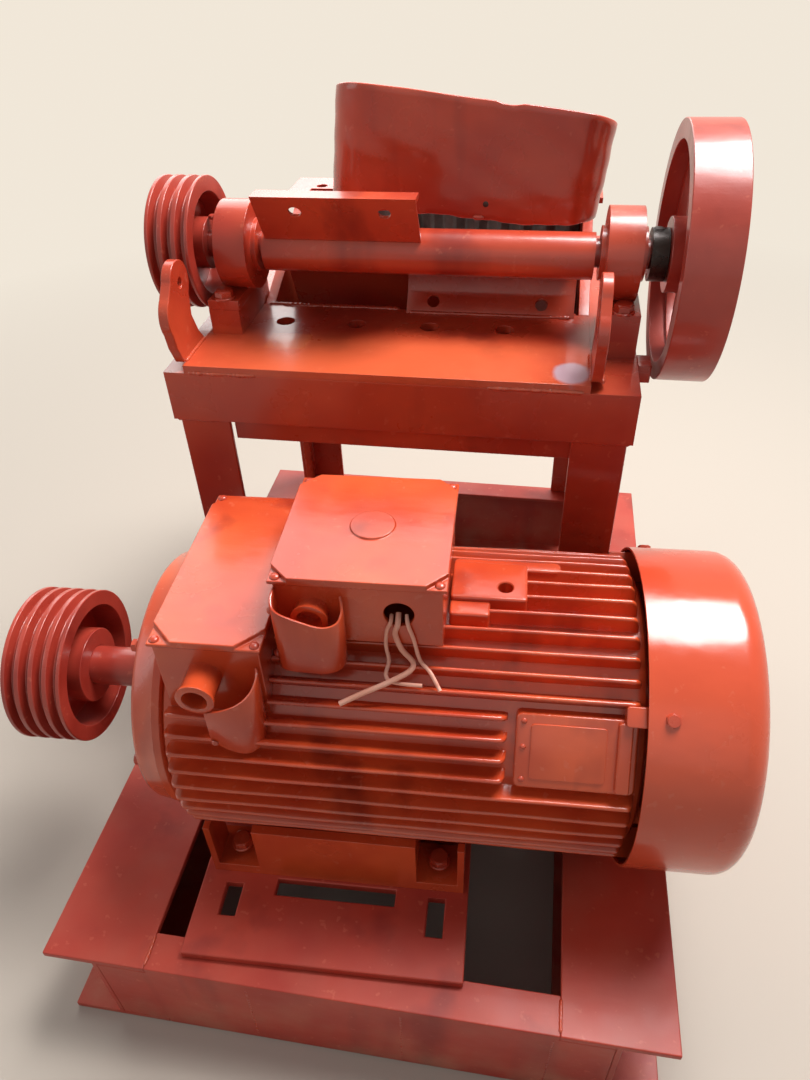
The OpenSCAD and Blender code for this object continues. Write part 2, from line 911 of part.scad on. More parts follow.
// Windows between the spokes, from the hub's ring to the rim
module flywheel_windows() {
  difference() {
    circle(r = fly_d / 2 - fly_rim - 5, $fn = 120);
    circle(r = 50, $fn = 96);
    for (i = [0 : spoke_count - 1])
      rotate([0, 0, i * 360 / spoke_count])
        translate([0, -spoke_w / 2])
          square([fly_d, spoke_w]);
  }
}

module flywheel() {
  color("orangered")
    on_shaft()
      translate([fly_left, 0, 0])
        rotate([0, 90, 0])
          difference() {
            union() {
              difference() {
                cylinder(h = fly_w, d = fly_d, $fn = 144);
                translate([0, 0, -1])
                  cylinder(h = fly_w + 2, d = fly_d - 2 * fly_rim, $fn = 144);
              }
              translate([0, 0, fly_w / 2 - 8])
                cylinder(h = 16, d = fly_d - 2 * fly_rim + 2, $fn = 144);
              cylinder(h = fly_w, d = 85, $fn = 96);
            }
            translate([0, 0, -1])
              cylinder(h = fly_w + 2, d = shaft_d, $fn = 96);
            translate([0, 0, fly_w / 2 - 9])
              linear_extrude(height = 18)
                flywheel_windows();
          }
}

module clamping_collar() {
  color("black")
    on_shaft()
      difference() {
        bar_x(right_bearing_x + housing_w / 2 + 11, fly_left - 1, 60);
        bar_x(right_bearing_x, fly_left, shaft_d);
        translate([fly_left - 13, 0, 18])
          cylinder(h = 16, d = 10, $fn = 32);
      }
}

// Things that lie on the face of the swing jaw, z down along the face
module on_jaw_face() {
  translate([0, jaw_top_y, jaw_top_z])
    rotate([jaw_lean, 0, 0])
      children();
}

module swing_jaw() {
  color("orangered")
    difference() {
      union() {
        translate([0, 0, -throw])
          on_shaft()
            bar_x(barrel_left, barrel_right, barrel_d);
        side_view(-jaw_w / 2, jaw_w / 2)
          polygon([
            [shaft_y, shaft_z - throw + barrel_d / 2 - 2],
            [jaw_top_y, jaw_top_z] - face_back,
            [jaw_low_y, jaw_low_z] - face_back,
            back_low,
            back_top,
            [shaft_y + 14, shaft_z - throw - barrel_d / 2 + 4]]);
      }
      translate([0, 0, -throw])
        on_shaft() {
          bar_x(min(barrel_left, -jaw_w / 2) - 1, max(barrel_right, jaw_w / 2) + 1, barrel_bore);
          bar_x(barrel_left + barrel_land, barrel_right - barrel_land, barrel_bore + 4);
        }
    }
}

module swing_jaw_liner() {
  color("dimgray")
    on_jaw_face()
      translate([0, -tooth_h, 0])
        rotate([0, 180, 180])
          linear_extrude(height = jaw_l)
            liner_section(jaw_w - 4, tooth_count);
}

module raised_cover() {
  color("orangered")
    difference() {
      side_view(-box_w / 2 + 18, 8)
        polygon([
          [shaft_y - 20.5, shaft_z + 14], [shaft_y - 16, shaft_z + 18.4],
          [shaft_y - 50, shaft_z + 68], [shaft_y - 30, shaft_z + 68],
          [shaft_y - 30, shaft_z + 74], [shaft_y - 57, shaft_z + 74]]);
      for (x = [-136, -30])
        translate([x, shaft_y - 45, shaft_z + 54])
          rotate([-56, 0, 0])
            cylinder(h = 40, d = 15, center = true, $fn = 48);
    }
}

module rear_cover() {
  color("orangered")
    difference() {
      side_view(-20, box_w / 2 - 6)
        polygon([
          [shaft_y + 23, frame_top + deck_t], [shaft_y + 31, frame_top + deck_t],
          [shaft_y + 48, frame_top + 32], [shaft_y + 58, frame_top + 60],
          [shaft_y + 53, frame_top + 62], [shaft_y + 43, frame_top + 34]]);
      for (x = [15, 155])
        translate([x, shaft_y + 35, frame_top + 22])
          rotate([40, 0, 0])
            cylinder(h = 30, d = 16, center = true, $fn = 48);
    }
}

module toggle_plate() {
  color("orangered")
    translate([0, toggle_y, toggle_z])
      rotate([-toggle_slope, 0, 0])
        translate([-140, 0, -7])
          cube([280, toggle_l, 14]);
}

module toggle_seat() {
  color("orangered")
    difference() {
      translate([-box_w / 2, toggle_y - 36, frame_top - 132])
        cube([box_w, 46, 46]);
      translate([0, toggle_y, toggle_z])
        rotate([-toggle_slope, 0, 0])
          translate([-140, 0, -7])
            cube([280, toggle_l, 14]);
    }
}

module hopper_section(grow) {
  r = 45 - grow;
  union() {
    translate([-hopper_w / 2 + grow, -hopper_d / 2 + 45])
      square([hopper_w - 2 * grow, hopper_d - 90]);
    translate([-hopper_w / 2 + 45, -hopper_d / 2 + grow])
      square([hopper_w - 90, hopper_d - 2 * grow]);
    for (s = [-1, 1])
      for (t = [-1, 1])
        translate([s * (hopper_w / 2 - 45), t * (hopper_d / 2 - 45)])
          circle(r = r, $fn = 64);
  }
}

module hopper() {
  color("orangered")
    translate([0, wall_y - 28 - hopper_d / 2, jaw_top_z + flange_t])
      difference() {
        translate([41, 0, 0])
          rotate([0, hopper_lean, 0])
            difference() {
              translate([0, 0, -60])
                linear_extrude(height = hopper_h + 60)
                  hopper_section(0);
              translate([0, 0, -61])
                linear_extrude(height = hopper_h + 62)
                  hopper_section(hopper_t);
              side_view(-hopper_w, hopper_w)
                polygon([
                  [-hopper_d, hopper_h - 1 + hopper_drop / 2],
                  [hopper_d, hopper_h - 1 - hopper_drop * 1.5],
                  [hopper_d, hopper_h + hopper_drop + 40],
                  [-hopper_d, hopper_h + hopper_drop + 40]]);
            }
        translate([-400, -400, -200])
          cube([800, 800, 200]);
        rotate([0, 1.3, 0])
          side_view(-400, 400)
            polygon([
              [-hopper_d / 2 - 10, -10], [62, -10], [62, 0], [-hopper_d / 2 - 10, 26]]);
      }
}

base_beam_left();
base_beam_right();
front_channel();
middle_channel();
rear_channel();
motor_plate();
motor_feet();
motor_body();
drive_end_shield();
fan_cover();
cooling_fan();
motor_shaft();
motor_pulley();
main_terminal_box();
main_box_lid();
side_terminal_box();
side_box_lid();
cable_clamps();
lead_wire_long();
lead_wire_middle();
lead_wire_short();
legs();
top_frame();
side_plate_left();
side_plate_right();
rear_wall();
deck_plate();
front_wall();
fixed_jaw_liner();
ears();
bearing_housing_left();
bearing_housing_right();
bearing_pedestals();
eccentric_shaft();
crusher_pulley();
flywheel();
clamping_collar();
swing_jaw();
swing_jaw_liner();
raised_cover();
rear_cover();
toggle_plate();
toggle_seat();
hopper();
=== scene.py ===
# Small jaw crusher on a welded stand with its drive motor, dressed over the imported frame
import json
import math

import bmesh
import bpy
import numpy as np
from mathutils import Matrix, Vector


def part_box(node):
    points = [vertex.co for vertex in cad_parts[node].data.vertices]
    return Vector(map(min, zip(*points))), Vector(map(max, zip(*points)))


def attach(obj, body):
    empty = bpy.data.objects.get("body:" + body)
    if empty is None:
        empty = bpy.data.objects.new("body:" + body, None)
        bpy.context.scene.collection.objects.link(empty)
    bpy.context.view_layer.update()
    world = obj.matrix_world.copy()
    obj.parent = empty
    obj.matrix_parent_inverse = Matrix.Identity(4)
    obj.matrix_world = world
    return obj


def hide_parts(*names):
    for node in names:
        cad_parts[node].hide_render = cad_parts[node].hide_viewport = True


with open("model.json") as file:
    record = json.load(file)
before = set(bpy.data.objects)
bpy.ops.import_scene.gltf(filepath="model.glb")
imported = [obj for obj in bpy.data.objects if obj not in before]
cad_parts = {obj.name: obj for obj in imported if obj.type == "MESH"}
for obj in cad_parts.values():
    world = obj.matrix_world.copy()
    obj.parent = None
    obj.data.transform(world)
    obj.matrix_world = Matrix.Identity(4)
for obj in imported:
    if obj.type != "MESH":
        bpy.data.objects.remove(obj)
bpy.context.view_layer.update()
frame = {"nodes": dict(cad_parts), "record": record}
print("frame loaded")

# Where the camera stood, angles in radians, focal length as a share of the picture's height
view = {"place": (0.1545, -0.368, 1.1038), "yaw": 0.186, "pitch": 0.685, "roll": -0.040,
        "focal": 0.74924, "sensor": 24.0}


def linked(name, data):
    # a new object in the scene
    made = bpy.data.objects.new(name, data)
    bpy.context.scene.collection.objects.link(made)
    return made


def makeCamera(look):
    # forward, right and up from yaw, pitch and roll, as the columns of the camera's matrix
    cosYaw, sinYaw = math.cos(look["yaw"]), math.sin(look["yaw"])
    cosPitch, sinPitch = math.cos(look["pitch"]), math.sin(look["pitch"])
    forward = Vector((-sinYaw * cosPitch, cosYaw * cosPitch, -sinPitch))
    level = Vector((cosYaw, sinYaw, 0))
    upright = level.cross(forward)
    right = math.cos(look["roll"]) * level + math.sin(look["roll"]) * upright
    up = -math.sin(look["roll"]) * level + math.cos(look["roll"]) * upright
    data = bpy.data.cameras.new("photoCamera")
    data.sensor_fit = "VERTICAL"
    data.sensor_height = look["sensor"]
    data.lens = look["focal"] * look["sensor"]
    data.clip_end = 60
    camera = linked("photoCamera", data)
    turn = Matrix((right, up, -forward)).transposed().to_4x4()
    camera.matrix_world = Matrix.Translation(look["place"]) @ turn
    bpy.context.scene.camera = camera


makeCamera(view)

# The motor stands askew on the base: its middle is motorMiddle, its shaft is motorHeight up
motorTurn = math.radians(2.5)
motorMiddle = 0.263
motorHeight = 0.350
turnCos, turnSin = math.cos(motorTurn), math.sin(motorTurn)


def fromMotor(points):
    # a turn about Z by the motor's askew angle, then a shift along Y
    p = np.asarray(points, float)
    x = p[..., 0] * turnCos - p[..., 1] * turnSin
    y = p[..., 0] * turnSin + p[..., 1] * turnCos + motorMiddle
    return np.stack([x, y, p[..., 2]], -1)


def aroundMotor(along, angle, radius):
    # a cylinder about the motor's axis: angle 0 is on top and grows towards the front
    along, angle, radius = np.broadcast_arrays(along, angle, radius)
    y = -radius * np.sin(angle)
    z = motorHeight + radius * np.cos(angle)
    return fromMotor(np.stack([along, y, z], -1))


# Meshes: angles in degrees, the distance within which points merge in metres
rounding = {"segments": 2, "from": 32, "sharp": 75, "smooth": 40, "merge": 2e-6, "flat": 0.6}


def gridFaces(rows, columns, closeRows=False, closeColumns=False):
    # quads between neighbouring points of a rows by columns grid
    i = np.arange(rows if closeRows else rows - 1)
    j = np.arange(columns if closeColumns else columns - 1)
    i, j = np.meshgrid(i, j, indexing="ij")
    i, j = i.ravel(), j.ravel()
    nextI, nextJ = (i + 1) % rows, (j + 1) % columns
    return np.stack([i * columns + j, nextI * columns + j,
                     nextI * columns + nextJ, i * columns + nextJ], -1)


def loft(sections):
    # closed cross-sections one after another, the first and last filled
    sections = np.asarray(sections, float)
    rows, columns = sections.shape[:2]
    faces = [tuple(f) for f in gridFaces(rows, columns, closeColumns=True)]
    faces.append(tuple(range(columns - 1, -1, -1)))
    faces.append(tuple(range((rows - 1) * columns, rows * columns)))
    return sections.reshape(-1, 3), faces


def closedGrid(points):
    # a grid of points whose rows and columns both close, with its quads
    faces = gridFaces(*points.shape[:2], closeRows=True, closeColumns=True)
    return points.reshape(-1, 3), [tuple(f) for f in faces]


def joined(parts):
    # several point and face lists as one
    points, faces, start = [], [], 0
    for partPoints, partFaces in parts:
        points.append(partPoints)
        faces.extend(tuple(int(i) + start for i in f) for f in partFaces)
        start += len(partPoints)
    return np.concatenate(points), faces


def addPiece(name, shape, body, slot, smooth, replaces=()):
    # a mesh from points and faces, its normals turned outwards
    points, faces = shape
    mesh = bpy.data.meshes.new(name)
    mesh.from_pydata(np.asarray(points).tolist(), [], faces)
    bm = bmesh.new()
    bm.from_mesh(mesh)
    bmesh.ops.recalc_face_normals(bm, faces=bm.faces)
    bm.to_mesh(mesh)
    bm.free()
    finishPiece(linked(name, mesh), body, slot, smooth, replaces)


def finishPiece(piece, body, slot, smooth, replaces, bevel=0.0):
    mesh = piece.data
    mesh.shade_smooth()
    mesh.set_sharp_from_angle(angle=math.radians(smooth))
    mesh.materials.clear()
    mesh.materials.append(finishes[slot])
    if bevel > 0:
        edge = piece.modifiers.new("edge", "BEVEL")
        edge.width = bevel
        edge.segments = rounding["segments"]
        edge.limit_method = "ANGLE"
        edge.angle_limit = math.radians(rounding["from"])
        edge.use_clamp_overlap = True
        even = piece.modifiers.new("even", "WEIGHTED_NORMAL")
        even.keep_sharp = True
        mesh.set_sharp_from_angle(angle=math.radians(rounding["sharp"]))
    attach(piece, body)
    if replaces:
        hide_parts(*replaces)


def unit(vectors):
    # each row at length 1
    return vectors / np.linalg.norm(vectors, axis=1)[:, None]


def lengthsAlong(points):
    # the length of a line up to each of its points
    return np.concatenate([[0], np.cumsum(np.linalg.norm(np.diff(points, axis=0), axis=1))])


def smoothRoute(route, steps):
    # a cubic through each point, its slope there half the way between the neighbours
    p = np.asarray(route, float)
    before = np.vstack([p[:1], p[:-2]])
    after = np.vstack([p[2:], p[-1:]])
    t = (np.arange(steps) / steps)[None, :, None]
    a, b, c, d = before[:, None], p[:-1, None], p[1:, None], after[:, None]
    curve = 0.5 * (2 * b + (c - a) * t + (2 * a - 5 * b + 4 * c - d) * t ** 2
                   + (3 * b - a - 3 * c + d) * t ** 3)
    return np.vstack([curve.reshape(-1, p.shape[1]), p[-1:]])


bodies = frame["record"]["behaviour"]["bodies"]
bodyOf = {node: body for body, nodes in bodies.items() for node in nodes}
slotOf = {part["node"]: part["material_slot"] for part in frame["record"]["subparts"]}


def softCopy(node, bevel):
    # the CAD node with merged points, flat faces made whole and its edges rounded
    mesh = frame["nodes"][node].data.copy()
    mesh.name = node + "_soft"
    bm = bmesh.new()
    bm.from_mesh(mesh)
    bmesh.ops.remove_doubles(bm, verts=bm.verts, dist=rounding["merge"])
    bmesh.ops.dissolve_limit(bm, angle_limit=math.radians(rounding["flat"]), verts=bm.verts,
                             edges=bm.edges)
    bm.to_mesh(mesh)
    bm.free()
    finishPiece(linked(mesh.name, mesh), bodyOf[node], slotOf[node], rounding["smooth"], (node,),
                bevel)


# Finishes: noise by its scale per metre, detail, roughness and stretch, and the band that shows
patterns = {"drift": {"detail": 3.0}, "steelDrift": {"detail": 5.0},
            "runs": {"detail": 3.0, "roughness": 0.5, "stretch": (1.0, 1.0, 0.13)},
            "specks": {"scale": 90.0, "detail": 2.0}, "dust": {"scale": 14.0, "detail": 5.0},
            "gloss": {"scale": 9.0, "detail": 5.0}, "waves": {"scale": 22.0, "detail": 2.0},
            "strokes": {"scale": 60.0, "detail": 3.0, "roughness": 0.6,
                        "stretch": (0.25, 1.0, 1.0)},
            "grain": {"scale": 420.0, "detail": 3.0, "roughness": 0.7},
            "ragged": {"scale": 55.0, "detail": 3.0},
            "scratches": {"scale": 120.0, "detail": 4.0, "roughness": 0.6}}
bands = {"drift": (0.35, 0.65), "runs": (0.58, 0.74), "specks": (0.66, 0.72), "dust": (0.42, 0.66),
         "gloss": (0.3, 0.7)}
coatLook = {"roughness": 0.12, "specular": 0.4, "dustRoughness": 0.35}
markEdge = {"reach": 1.12, "ragged": 0.25}


def nodeOf(tree, kind, **values):
    # a node with its properties and inputs set by name
    made = tree.nodes.new(kind)
    for key, value in values.items():
        if hasattr(made, key):
            setattr(made, key, value)
        else:
            made.inputs[key.replace("_", " ")].default_value = value
    return made


def noiseOf(tree, coordinates, scale, detail=4.0, roughness=0.55, stretch=None):
    # noise on Object coordinates, drawn out along an axis where stretch is given
    source = coordinates
    if stretch:
        mapping = nodeOf(tree, "ShaderNodeMapping")
        mapping.inputs["Scale"].default_value = stretch
        tree.links.new(coordinates, mapping.inputs["Vector"])
        source = mapping.outputs["Vector"]
    noise = nodeOf(tree, "ShaderNodeTexNoise", Scale=scale, Detail=detail, Roughness=roughness)
    tree.links.new(source, noise.inputs["Vector"])
    return noise.outputs["Fac"]


def spread(tree, value, low, high, newLow=0.0, newHigh=1.0):
    # low to high becomes newLow to newHigh, with the ends held
    made = nodeOf(tree, "ShaderNodeMapRange")
    made.clamp = True
    numbers = {"From Min": low, "From Max": high, "To Min": newLow, "To Max": newHigh}
    for key, number in numbers.items():
        made.inputs[key].default_value = number
    tree.links.new(value, made.inputs["Value"])
    return made.outputs["Result"]


def blend(tree, share, first, second):
    # first and second are colours or sockets
    made = tree.nodes.new("ShaderNodeMix")
    made.data_type = "RGBA"
    tree.links.new(share, made.inputs["Factor"])
    for index, colour in ((6, first), (7, second)):
        if isinstance(colour, tuple):
            made.inputs[index].default_value = (*colour, 1)
        else:
            tree.links.new(colour, made.inputs[index])
    return made.outputs[2]


def times(tree, first, second, kind="MULTIPLY"):
    # first times second, or another operation on the two, each a number or a socket
    made = tree.nodes.new("ShaderNodeMath")
    made.operation = kind
    for index, part in enumerate((first, second)):
        if isinstance(part, (int, float)):
            made.inputs[index].default_value = part
        else:
            tree.links.new(part, made.inputs[index])
    return made.outputs[0]


def bumpOf(tree, height, distance, below=None):
    # a relief of this height in metres over the one below
    made = nodeOf(tree, "ShaderNodeBump", Distance=distance, Strength=1.0)
    tree.links.new(height, made.inputs["Height"])
    if below:
        tree.links.new(below, made.inputs["Normal"])
    return made.outputs["Normal"]


def startFinish(name):
    # a new material with its tree, shader and Object coordinates
    material = bpy.data.materials.new(name)
    material.use_nodes = True
    tree = material.node_tree
    shader = tree.nodes["Principled BSDF"]
    coordinates = tree.nodes.new("ShaderNodeTexCoord").outputs["Object"]
    return material, tree, shader, coordinates


def seenRays(tree):
    # 1 for what the camera sees, straight or through gloss and glass
    rays = tree.nodes.new("ShaderNodeLightPath").outputs
    mirrored = times(tree, rays["Is Glossy Ray"], rays["Is Transmission Ray"], "MAXIMUM")
    return times(tree, rays["Is Camera Ray"], mirrored, "MAXIMUM")


def heightOf(tree, coordinates):
    # height over the floor
    split = tree.nodes.new("ShaderNodeSeparateXYZ")
    tree.links.new(coordinates, split.inputs[0])
    return split.outputs["Z"]


def markOf(tree, coordinates, mark):
    # the mark's share inside a round or square about its place, none past its soft edge
    shifted = nodeOf(tree, "ShaderNodeMapping", vector_type="TEXTURE")
    shifted.inputs["Location"].default_value = mark["place"]
    shifted.inputs["Scale"].default_value = mark["reach"]
    tree.links.new(coordinates, shifted.inputs["Vector"])
    if mark["square"]:
        split = tree.nodes.new("ShaderNodeSeparateXYZ")
        sides = nodeOf(tree, "ShaderNodeVectorMath", operation="ABSOLUTE")
        tree.links.new(shifted.outputs["Vector"], sides.inputs[0])
        tree.links.new(sides.outputs[0], split.inputs[0])
        wide = times(tree, split.outputs["X"], split.outputs["Y"], "MAXIMUM")
        distance = times(tree, wide, split.outputs["Z"], "MAXIMUM")
    else:
        far = nodeOf(tree, "ShaderNodeVectorMath", operation="LENGTH")
        tree.links.new(shifted.outputs["Vector"], far.inputs[0])
        distance = far.outputs["Value"]
    ragged = times(tree, noiseOf(tree, coordinates, **patterns["ragged"]), markEdge["ragged"])
    distance = times(tree, distance, ragged, "ADD")
    reach = markEdge["reach"]
    return spread(tree, distance, reach - mark["soft"], reach, mark["share"], 0.0)


def glossPaint(name, look):
    # brushed-on paint: slow drift between a thin and a thick colour, dark runs, dust low down
    material, tree, shader, where = startFinish(name)
    drift = spread(tree, noiseOf(tree, where, look["drift"], **patterns["drift"]), *bands["drift"])
    colour = blend(tree, drift, look["thin"], look["thick"])
    runs = noiseOf(tree, where, look["runs"], **patterns["runs"])
    runs = spread(tree, runs, *bands["runs"], 0.0, look["runShare"])
    colour = blend(tree, runs, colour, look["run"])
    specks = noiseOf(tree, where, **patterns["specks"])
    specks = spread(tree, specks, *bands["specks"], 0.0, look["speckShare"])
    colour = blend(tree, specks, colour, look["speck"])
    low = spread(tree, heightOf(tree, where), look["dustTop"], 0.0)
    dusty = spread(tree, noiseOf(tree, where, **patterns["dust"]), *bands["dust"])
    dusty = times(tree, times(tree, low, dusty), look["dustShare"])
    colour = blend(tree, dusty, colour, look["dust"])
    # patches blended over the colour by Object coordinates; on the red paint's deck they are
    # painted sunlight, a pale purplish spot and a painted patch of light
    for mark in look["marks"]:
        colour = blend(tree, markOf(tree, where, mark), colour, mark["colour"])
    tree.links.new(colour, shader.inputs["Base Color"])
    rough = noiseOf(tree, where, **patterns["gloss"])
    rough = spread(tree, rough, *bands["gloss"], *look["rough"])
    rough = times(tree, rough, times(tree, dusty, coatLook["dustRoughness"]), "ADD")
    tree.links.new(rough, shader.inputs["Roughness"])
    shader.inputs["Coat Weight"].default_value = look["coat"]
    shader.inputs["Coat Roughness"].default_value = coatLook["roughness"]
    shader.inputs["Specular IOR Level"].default_value = coatLook["specular"]
    relief = None
    for layer in ("waves", "strokes", "grain"):
        relief = bumpOf(tree, noiseOf(tree, where, **patterns[layer]), look[layer], relief)
    tree.links.new(relief, shader.inputs["Normal"])
    return material


def bareSteel(name, look):
    # metal whose colour and roughness drift, with fine marks
    material, tree, shader, where = startFinish(name)
    drift = noiseOf(tree, where, look["drift"], **patterns["steelDrift"])
    drift = spread(tree, drift, *bands["drift"])
    tree.links.new(blend(tree, drift, look["dark"], look["light"]), shader.inputs["Base Color"])
    shader.inputs["Metallic"].default_value = look["metal"]
    marks = noiseOf(tree, where, **patterns["scratches"], stretch=look["marks"])
    rough = spread(tree, marks, *bands["gloss"], *look["rough"])
    tree.links.new(rough, shader.inputs["Roughness"])
    tree.links.new(bumpOf(tree, marks, look["bump"]), shader.inputs["Normal"])
    return material


# Colours are linear red, green and blue, and the relief's heights are in metres
redPaint = {"thin": (0.50, 0.060, 0.022), "thick": (0.34, 0.026, 0.012),
            "run": (0.17, 0.011, 0.008), "drift": 5.0, "runs": 15.0, "runShare": 0.62,
            "speck": (0.62, 0.16, 0.09), "speckShare": 0.25, "dust": (0.45, 0.28, 0.18),
            "dustTop": 0.02, "dustShare": 0.3, "rough": (0.22, 0.38), "coat": 0.3,
            "waves": 0.0007, "strokes": 0.00022, "grain": 0.00006}
redPaint["marks"] = [
    # painted sunlight: a broad square of brighter orange over the deck's top
    {"place": (-0.01, 0.500, 0.66), "reach": (0.30, 0.075, 0.012), "square": True, "soft": 0.5,
     "share": 0.5, "colour": (0.66, 0.13, 0.045)},
    # a pale purplish round spot at the deck's right front corner
    {"place": (0.195, 0.486, 0.66), "reach": (0.023, 0.029, 0.02), "square": False, "soft": 0.22,
     "share": 0.9, "colour": (0.42, 0.31, 0.36)},
    # a painted patch of light: a small square of brighter orange on the deck's top
    {"place": (-0.154, 0.537, 0.66), "reach": (0.028, 0.023, 0.02), "square": True, "soft": 0.12,
     "share": 0.5, "colour": (0.72, 0.17, 0.05)}]
basePaint = dict(redPaint, marks=(), thin=(0.44, 0.044, 0.022), thick=(0.30, 0.022, 0.012),
                 dustTop=0.19, rough=(0.42, 0.60), coat=0.04, waves=0.0009)
motorPaint = dict(redPaint, marks=(), thin=(0.60, 0.080, 0.022), thick=(0.43, 0.038, 0.012),
                  drift=7.0, rough=(0.16, 0.30))
coverPaint = dict(motorPaint, thin=(0.58, 0.072, 0.024), thick=(0.46, 0.044, 0.016), drift=3.0,
                  runShare=0.25, waves=0.0012, strokes=0.00012)
wheelPaint = dict(redPaint, marks=(), thin=(0.41, 0.050, 0.030), thick=(0.29, 0.027, 0.016),
                  drift=8.0, rough=(0.26, 0.42))
wirePaint = dict(redPaint, marks=(), thin=(0.84, 0.45, 0.34), thick=(0.74, 0.33, 0.23),
                 run=(0.45, 0.10, 0.05), drift=30.0, runs=40.0, rough=(0.42, 0.6), coat=0.1,
                 waves=0.0002)
linerSteel = {"dark": (0.10, 0.085, 0.08), "light": (0.26, 0.24, 0.23), "drift": 18.0,
              "metal": 0.85, "marks": (1.0, 1.0, 0.2), "rough": (0.38, 0.62), "bump": 0.0005}
oilySteel = {"dark": (0.012, 0.010, 0.010), "light": (0.05, 0.035, 0.03), "drift": 30.0,
             "metal": 0.6, "marks": (1.0, 1.0, 1.0), "rough": (0.22, 0.5), "bump": 0.0004}
fanPlastic = {"dark": (0.05, 0.05, 0.055), "light": (0.10, 0.10, 0.105), "drift": 12.0,
              "metal": 0.0, "marks": (1.0, 1.0, 1.0), "rough": (0.5, 0.65), "bump": 0.0001}

finishes = {"red_paint": glossPaint("redPaint", redPaint),
            "base_paint": glossPaint("basePaint", basePaint),
            "motor_paint": glossPaint("motorPaint", motorPaint),
            "cover_paint": glossPaint("coverPaint", coverPaint),
            "wheel_paint": glossPaint("wheelPaint", wheelPaint),
            "wire_paint": glossPaint("wirePaint", wirePaint),
            "worn_steel": bareSteel("wornSteel", linerSteel),
            "dark_steel": bareSteel("oilySteel", oilySteel),
            "fan_plastic": bareSteel("fanPlastic", fanPlastic)}
print("finishes made")

# Motor casing, in metres beside the motor's axis; root and edge are half the rib's thickness, and
# a rib's free end starts with the end shares of its height, root and edge
casing = {"left": -0.213, "right": 0.286, "core": 0.152, "tip": 0.172, "bore": 0.0246,
          "chamfer": 0.003, "sides": 192, "ribs": 48, "ribLeft": -0.206, "ribRight": 0.278,
          "root": 0.0033, "edge": 0.0022, "flare": 0.002, "foot": 0.0022, "sunk": 0.0015,
          "tipEnd": 0.2, "rootEnd": 0.7, "edgeEnd": 0.6,
          "nose": 0.008, "ball": 0.28, "ballAt": 0.006, "ballWide": 0.003, "step": 0.03,
          "wander": 0.0004, "waves": 31, "phase": 1.7}

# What cuts the ribs: degrees from the top, stretch along the axis, whether its ends are free
ribCuts = [((-45, 50), (-0.2023, -0.0937), False),
           ((-23, -16), (-0.0603, 0.0603), False), ((-16, 16), (-0.0835, 0.0835), False),
           ((16, 23), (-0.0603, 0.0603), False), ((-16, 6), (0.083, 0.163), False),
           ((6, 16), (0.083, 0.125), False), ((46, 74), (0.149, 0.4), True)]

# Pads cast on: box as x and sideways, low and high from the axis, side in degrees from the top
pads = [{"box": (0.084, 0.164, -0.022, 0.036), "low": 0.135, "high": 0.173, "corner": 0.004,
         "soft": 0.0028, "hole": (0.141, -0.003, 0.008, 0.022)},
        {"box": (0.084, 0.126, -0.042, -0.019), "low": 0.135, "high": 0.168, "corner": 0.004,
         "soft": 0.0028},
        {"box": (0.084, 0.200, 0.030, 0.046), "low": 0.135, "high": 0.1685, "corner": 0.006,
         "soft": 0.0028},
        {"box": (0.157, 0.276, -0.039, 0.039), "low": 0.14, "high": 0.162, "corner": 0.006,
         "soft": 0.0024, "side": 60},
        {"box": (0.172, 0.246, -0.029, 0.029), "low": 0.161, "high": 0.1634, "corner": 0.004,
         "soft": 0.0006, "side": 60},
        {"box": (0.256, 0.270, -0.037, 0.037), "low": 0.161, "high": 0.1664, "corner": 0.003,
         "soft": 0.002, "side": 60}]
lug = {"box": (0.262, 0.316, -0.010, 0.010), "low": 0.140, "high": 0.1745, "corner": 0.003,
       "soft": 0.001}
pads += [dict(lug, side=degrees) for degrees in (45, 135, 225, 315)]


def offAngle(along, angle, off, radius):
    # the point at a radius on the line at this angle, then sideways by off
    y = -(radius * np.sin(angle) + off * np.cos(angle))
    z = motorHeight + radius * np.cos(angle) - off * np.sin(angle)
    return fromMotor(np.stack(np.broadcast_arrays(along, y, z), -1))


def ring(x0, x1, y0, y1, corner, steps=6):
    # rectangle with round corners: a quarter circle about each corner's centre
    turn = np.linspace(0, np.pi / 2, steps)
    angle = (np.arange(4)[:, None] * np.pi / 2 + turn).ravel()
    middleX = np.repeat([x1 - corner, x0 + corner, x0 + corner, x1 - corner], steps)
    middleY = np.repeat([y1 - corner, y1 - corner, y0 + corner, y0 + corner], steps)
    return np.stack([middleX + corner * np.cos(angle), middleY + corner * np.sin(angle)], -1)


def pillow(look, place):
    # a block whose top edge is a quarter circle, with a blind hole as (x, y, radius, depth)
    x0, x1, y0, y1 = look["box"]
    high, soft, corner = look["high"], look["soft"], look["corner"]
    turn = np.linspace(0, np.pi / 2, 5)
    heights = [look["low"], *(high - soft + soft * np.sin(turn))]
    insets = [0.0, *(soft - soft * np.cos(turn))]
    rings = [ring(x0 + inset, x1 - inset, y0 + inset, y1 - inset, max(corner - inset, 0.0004))
             for inset in insets]
    if "hole" in look:
        x, y, radius, depth = look["hole"]
        chamfer = 0.0012
        heights += [high, high - chamfer, high - depth]
        rings += [ring(x - reach, x + reach, y - reach, y + reach, reach)
                  for reach in (radius + chamfer, radius, radius)]
    return loft([place(flat[:, 0], flat[:, 1], np.full(len(flat), height))
                 for flat, height in zip(rings, heights)])


def ribSpans(angle, look):
    # stretches of a rib between the boxes and pads, each end marked as free or butted
    spans = [(look["ribLeft"], look["ribRight"], True, True)]
    degrees = math.degrees(angle)
    degrees = degrees - 360 if degrees > 180 else degrees
    cuts = [(*stretch, free) for (first, last), stretch, free in ribCuts if first < degrees < last]
    for low, high, free in sorted(cuts):
        left, right, leftFree, rightFree = spans.pop()
        if low > left + look["nose"]:
            spans.append((left, low, leftFree, free))
        if high < right:
            spans.append((high, right, free, rightFree))
    return spans


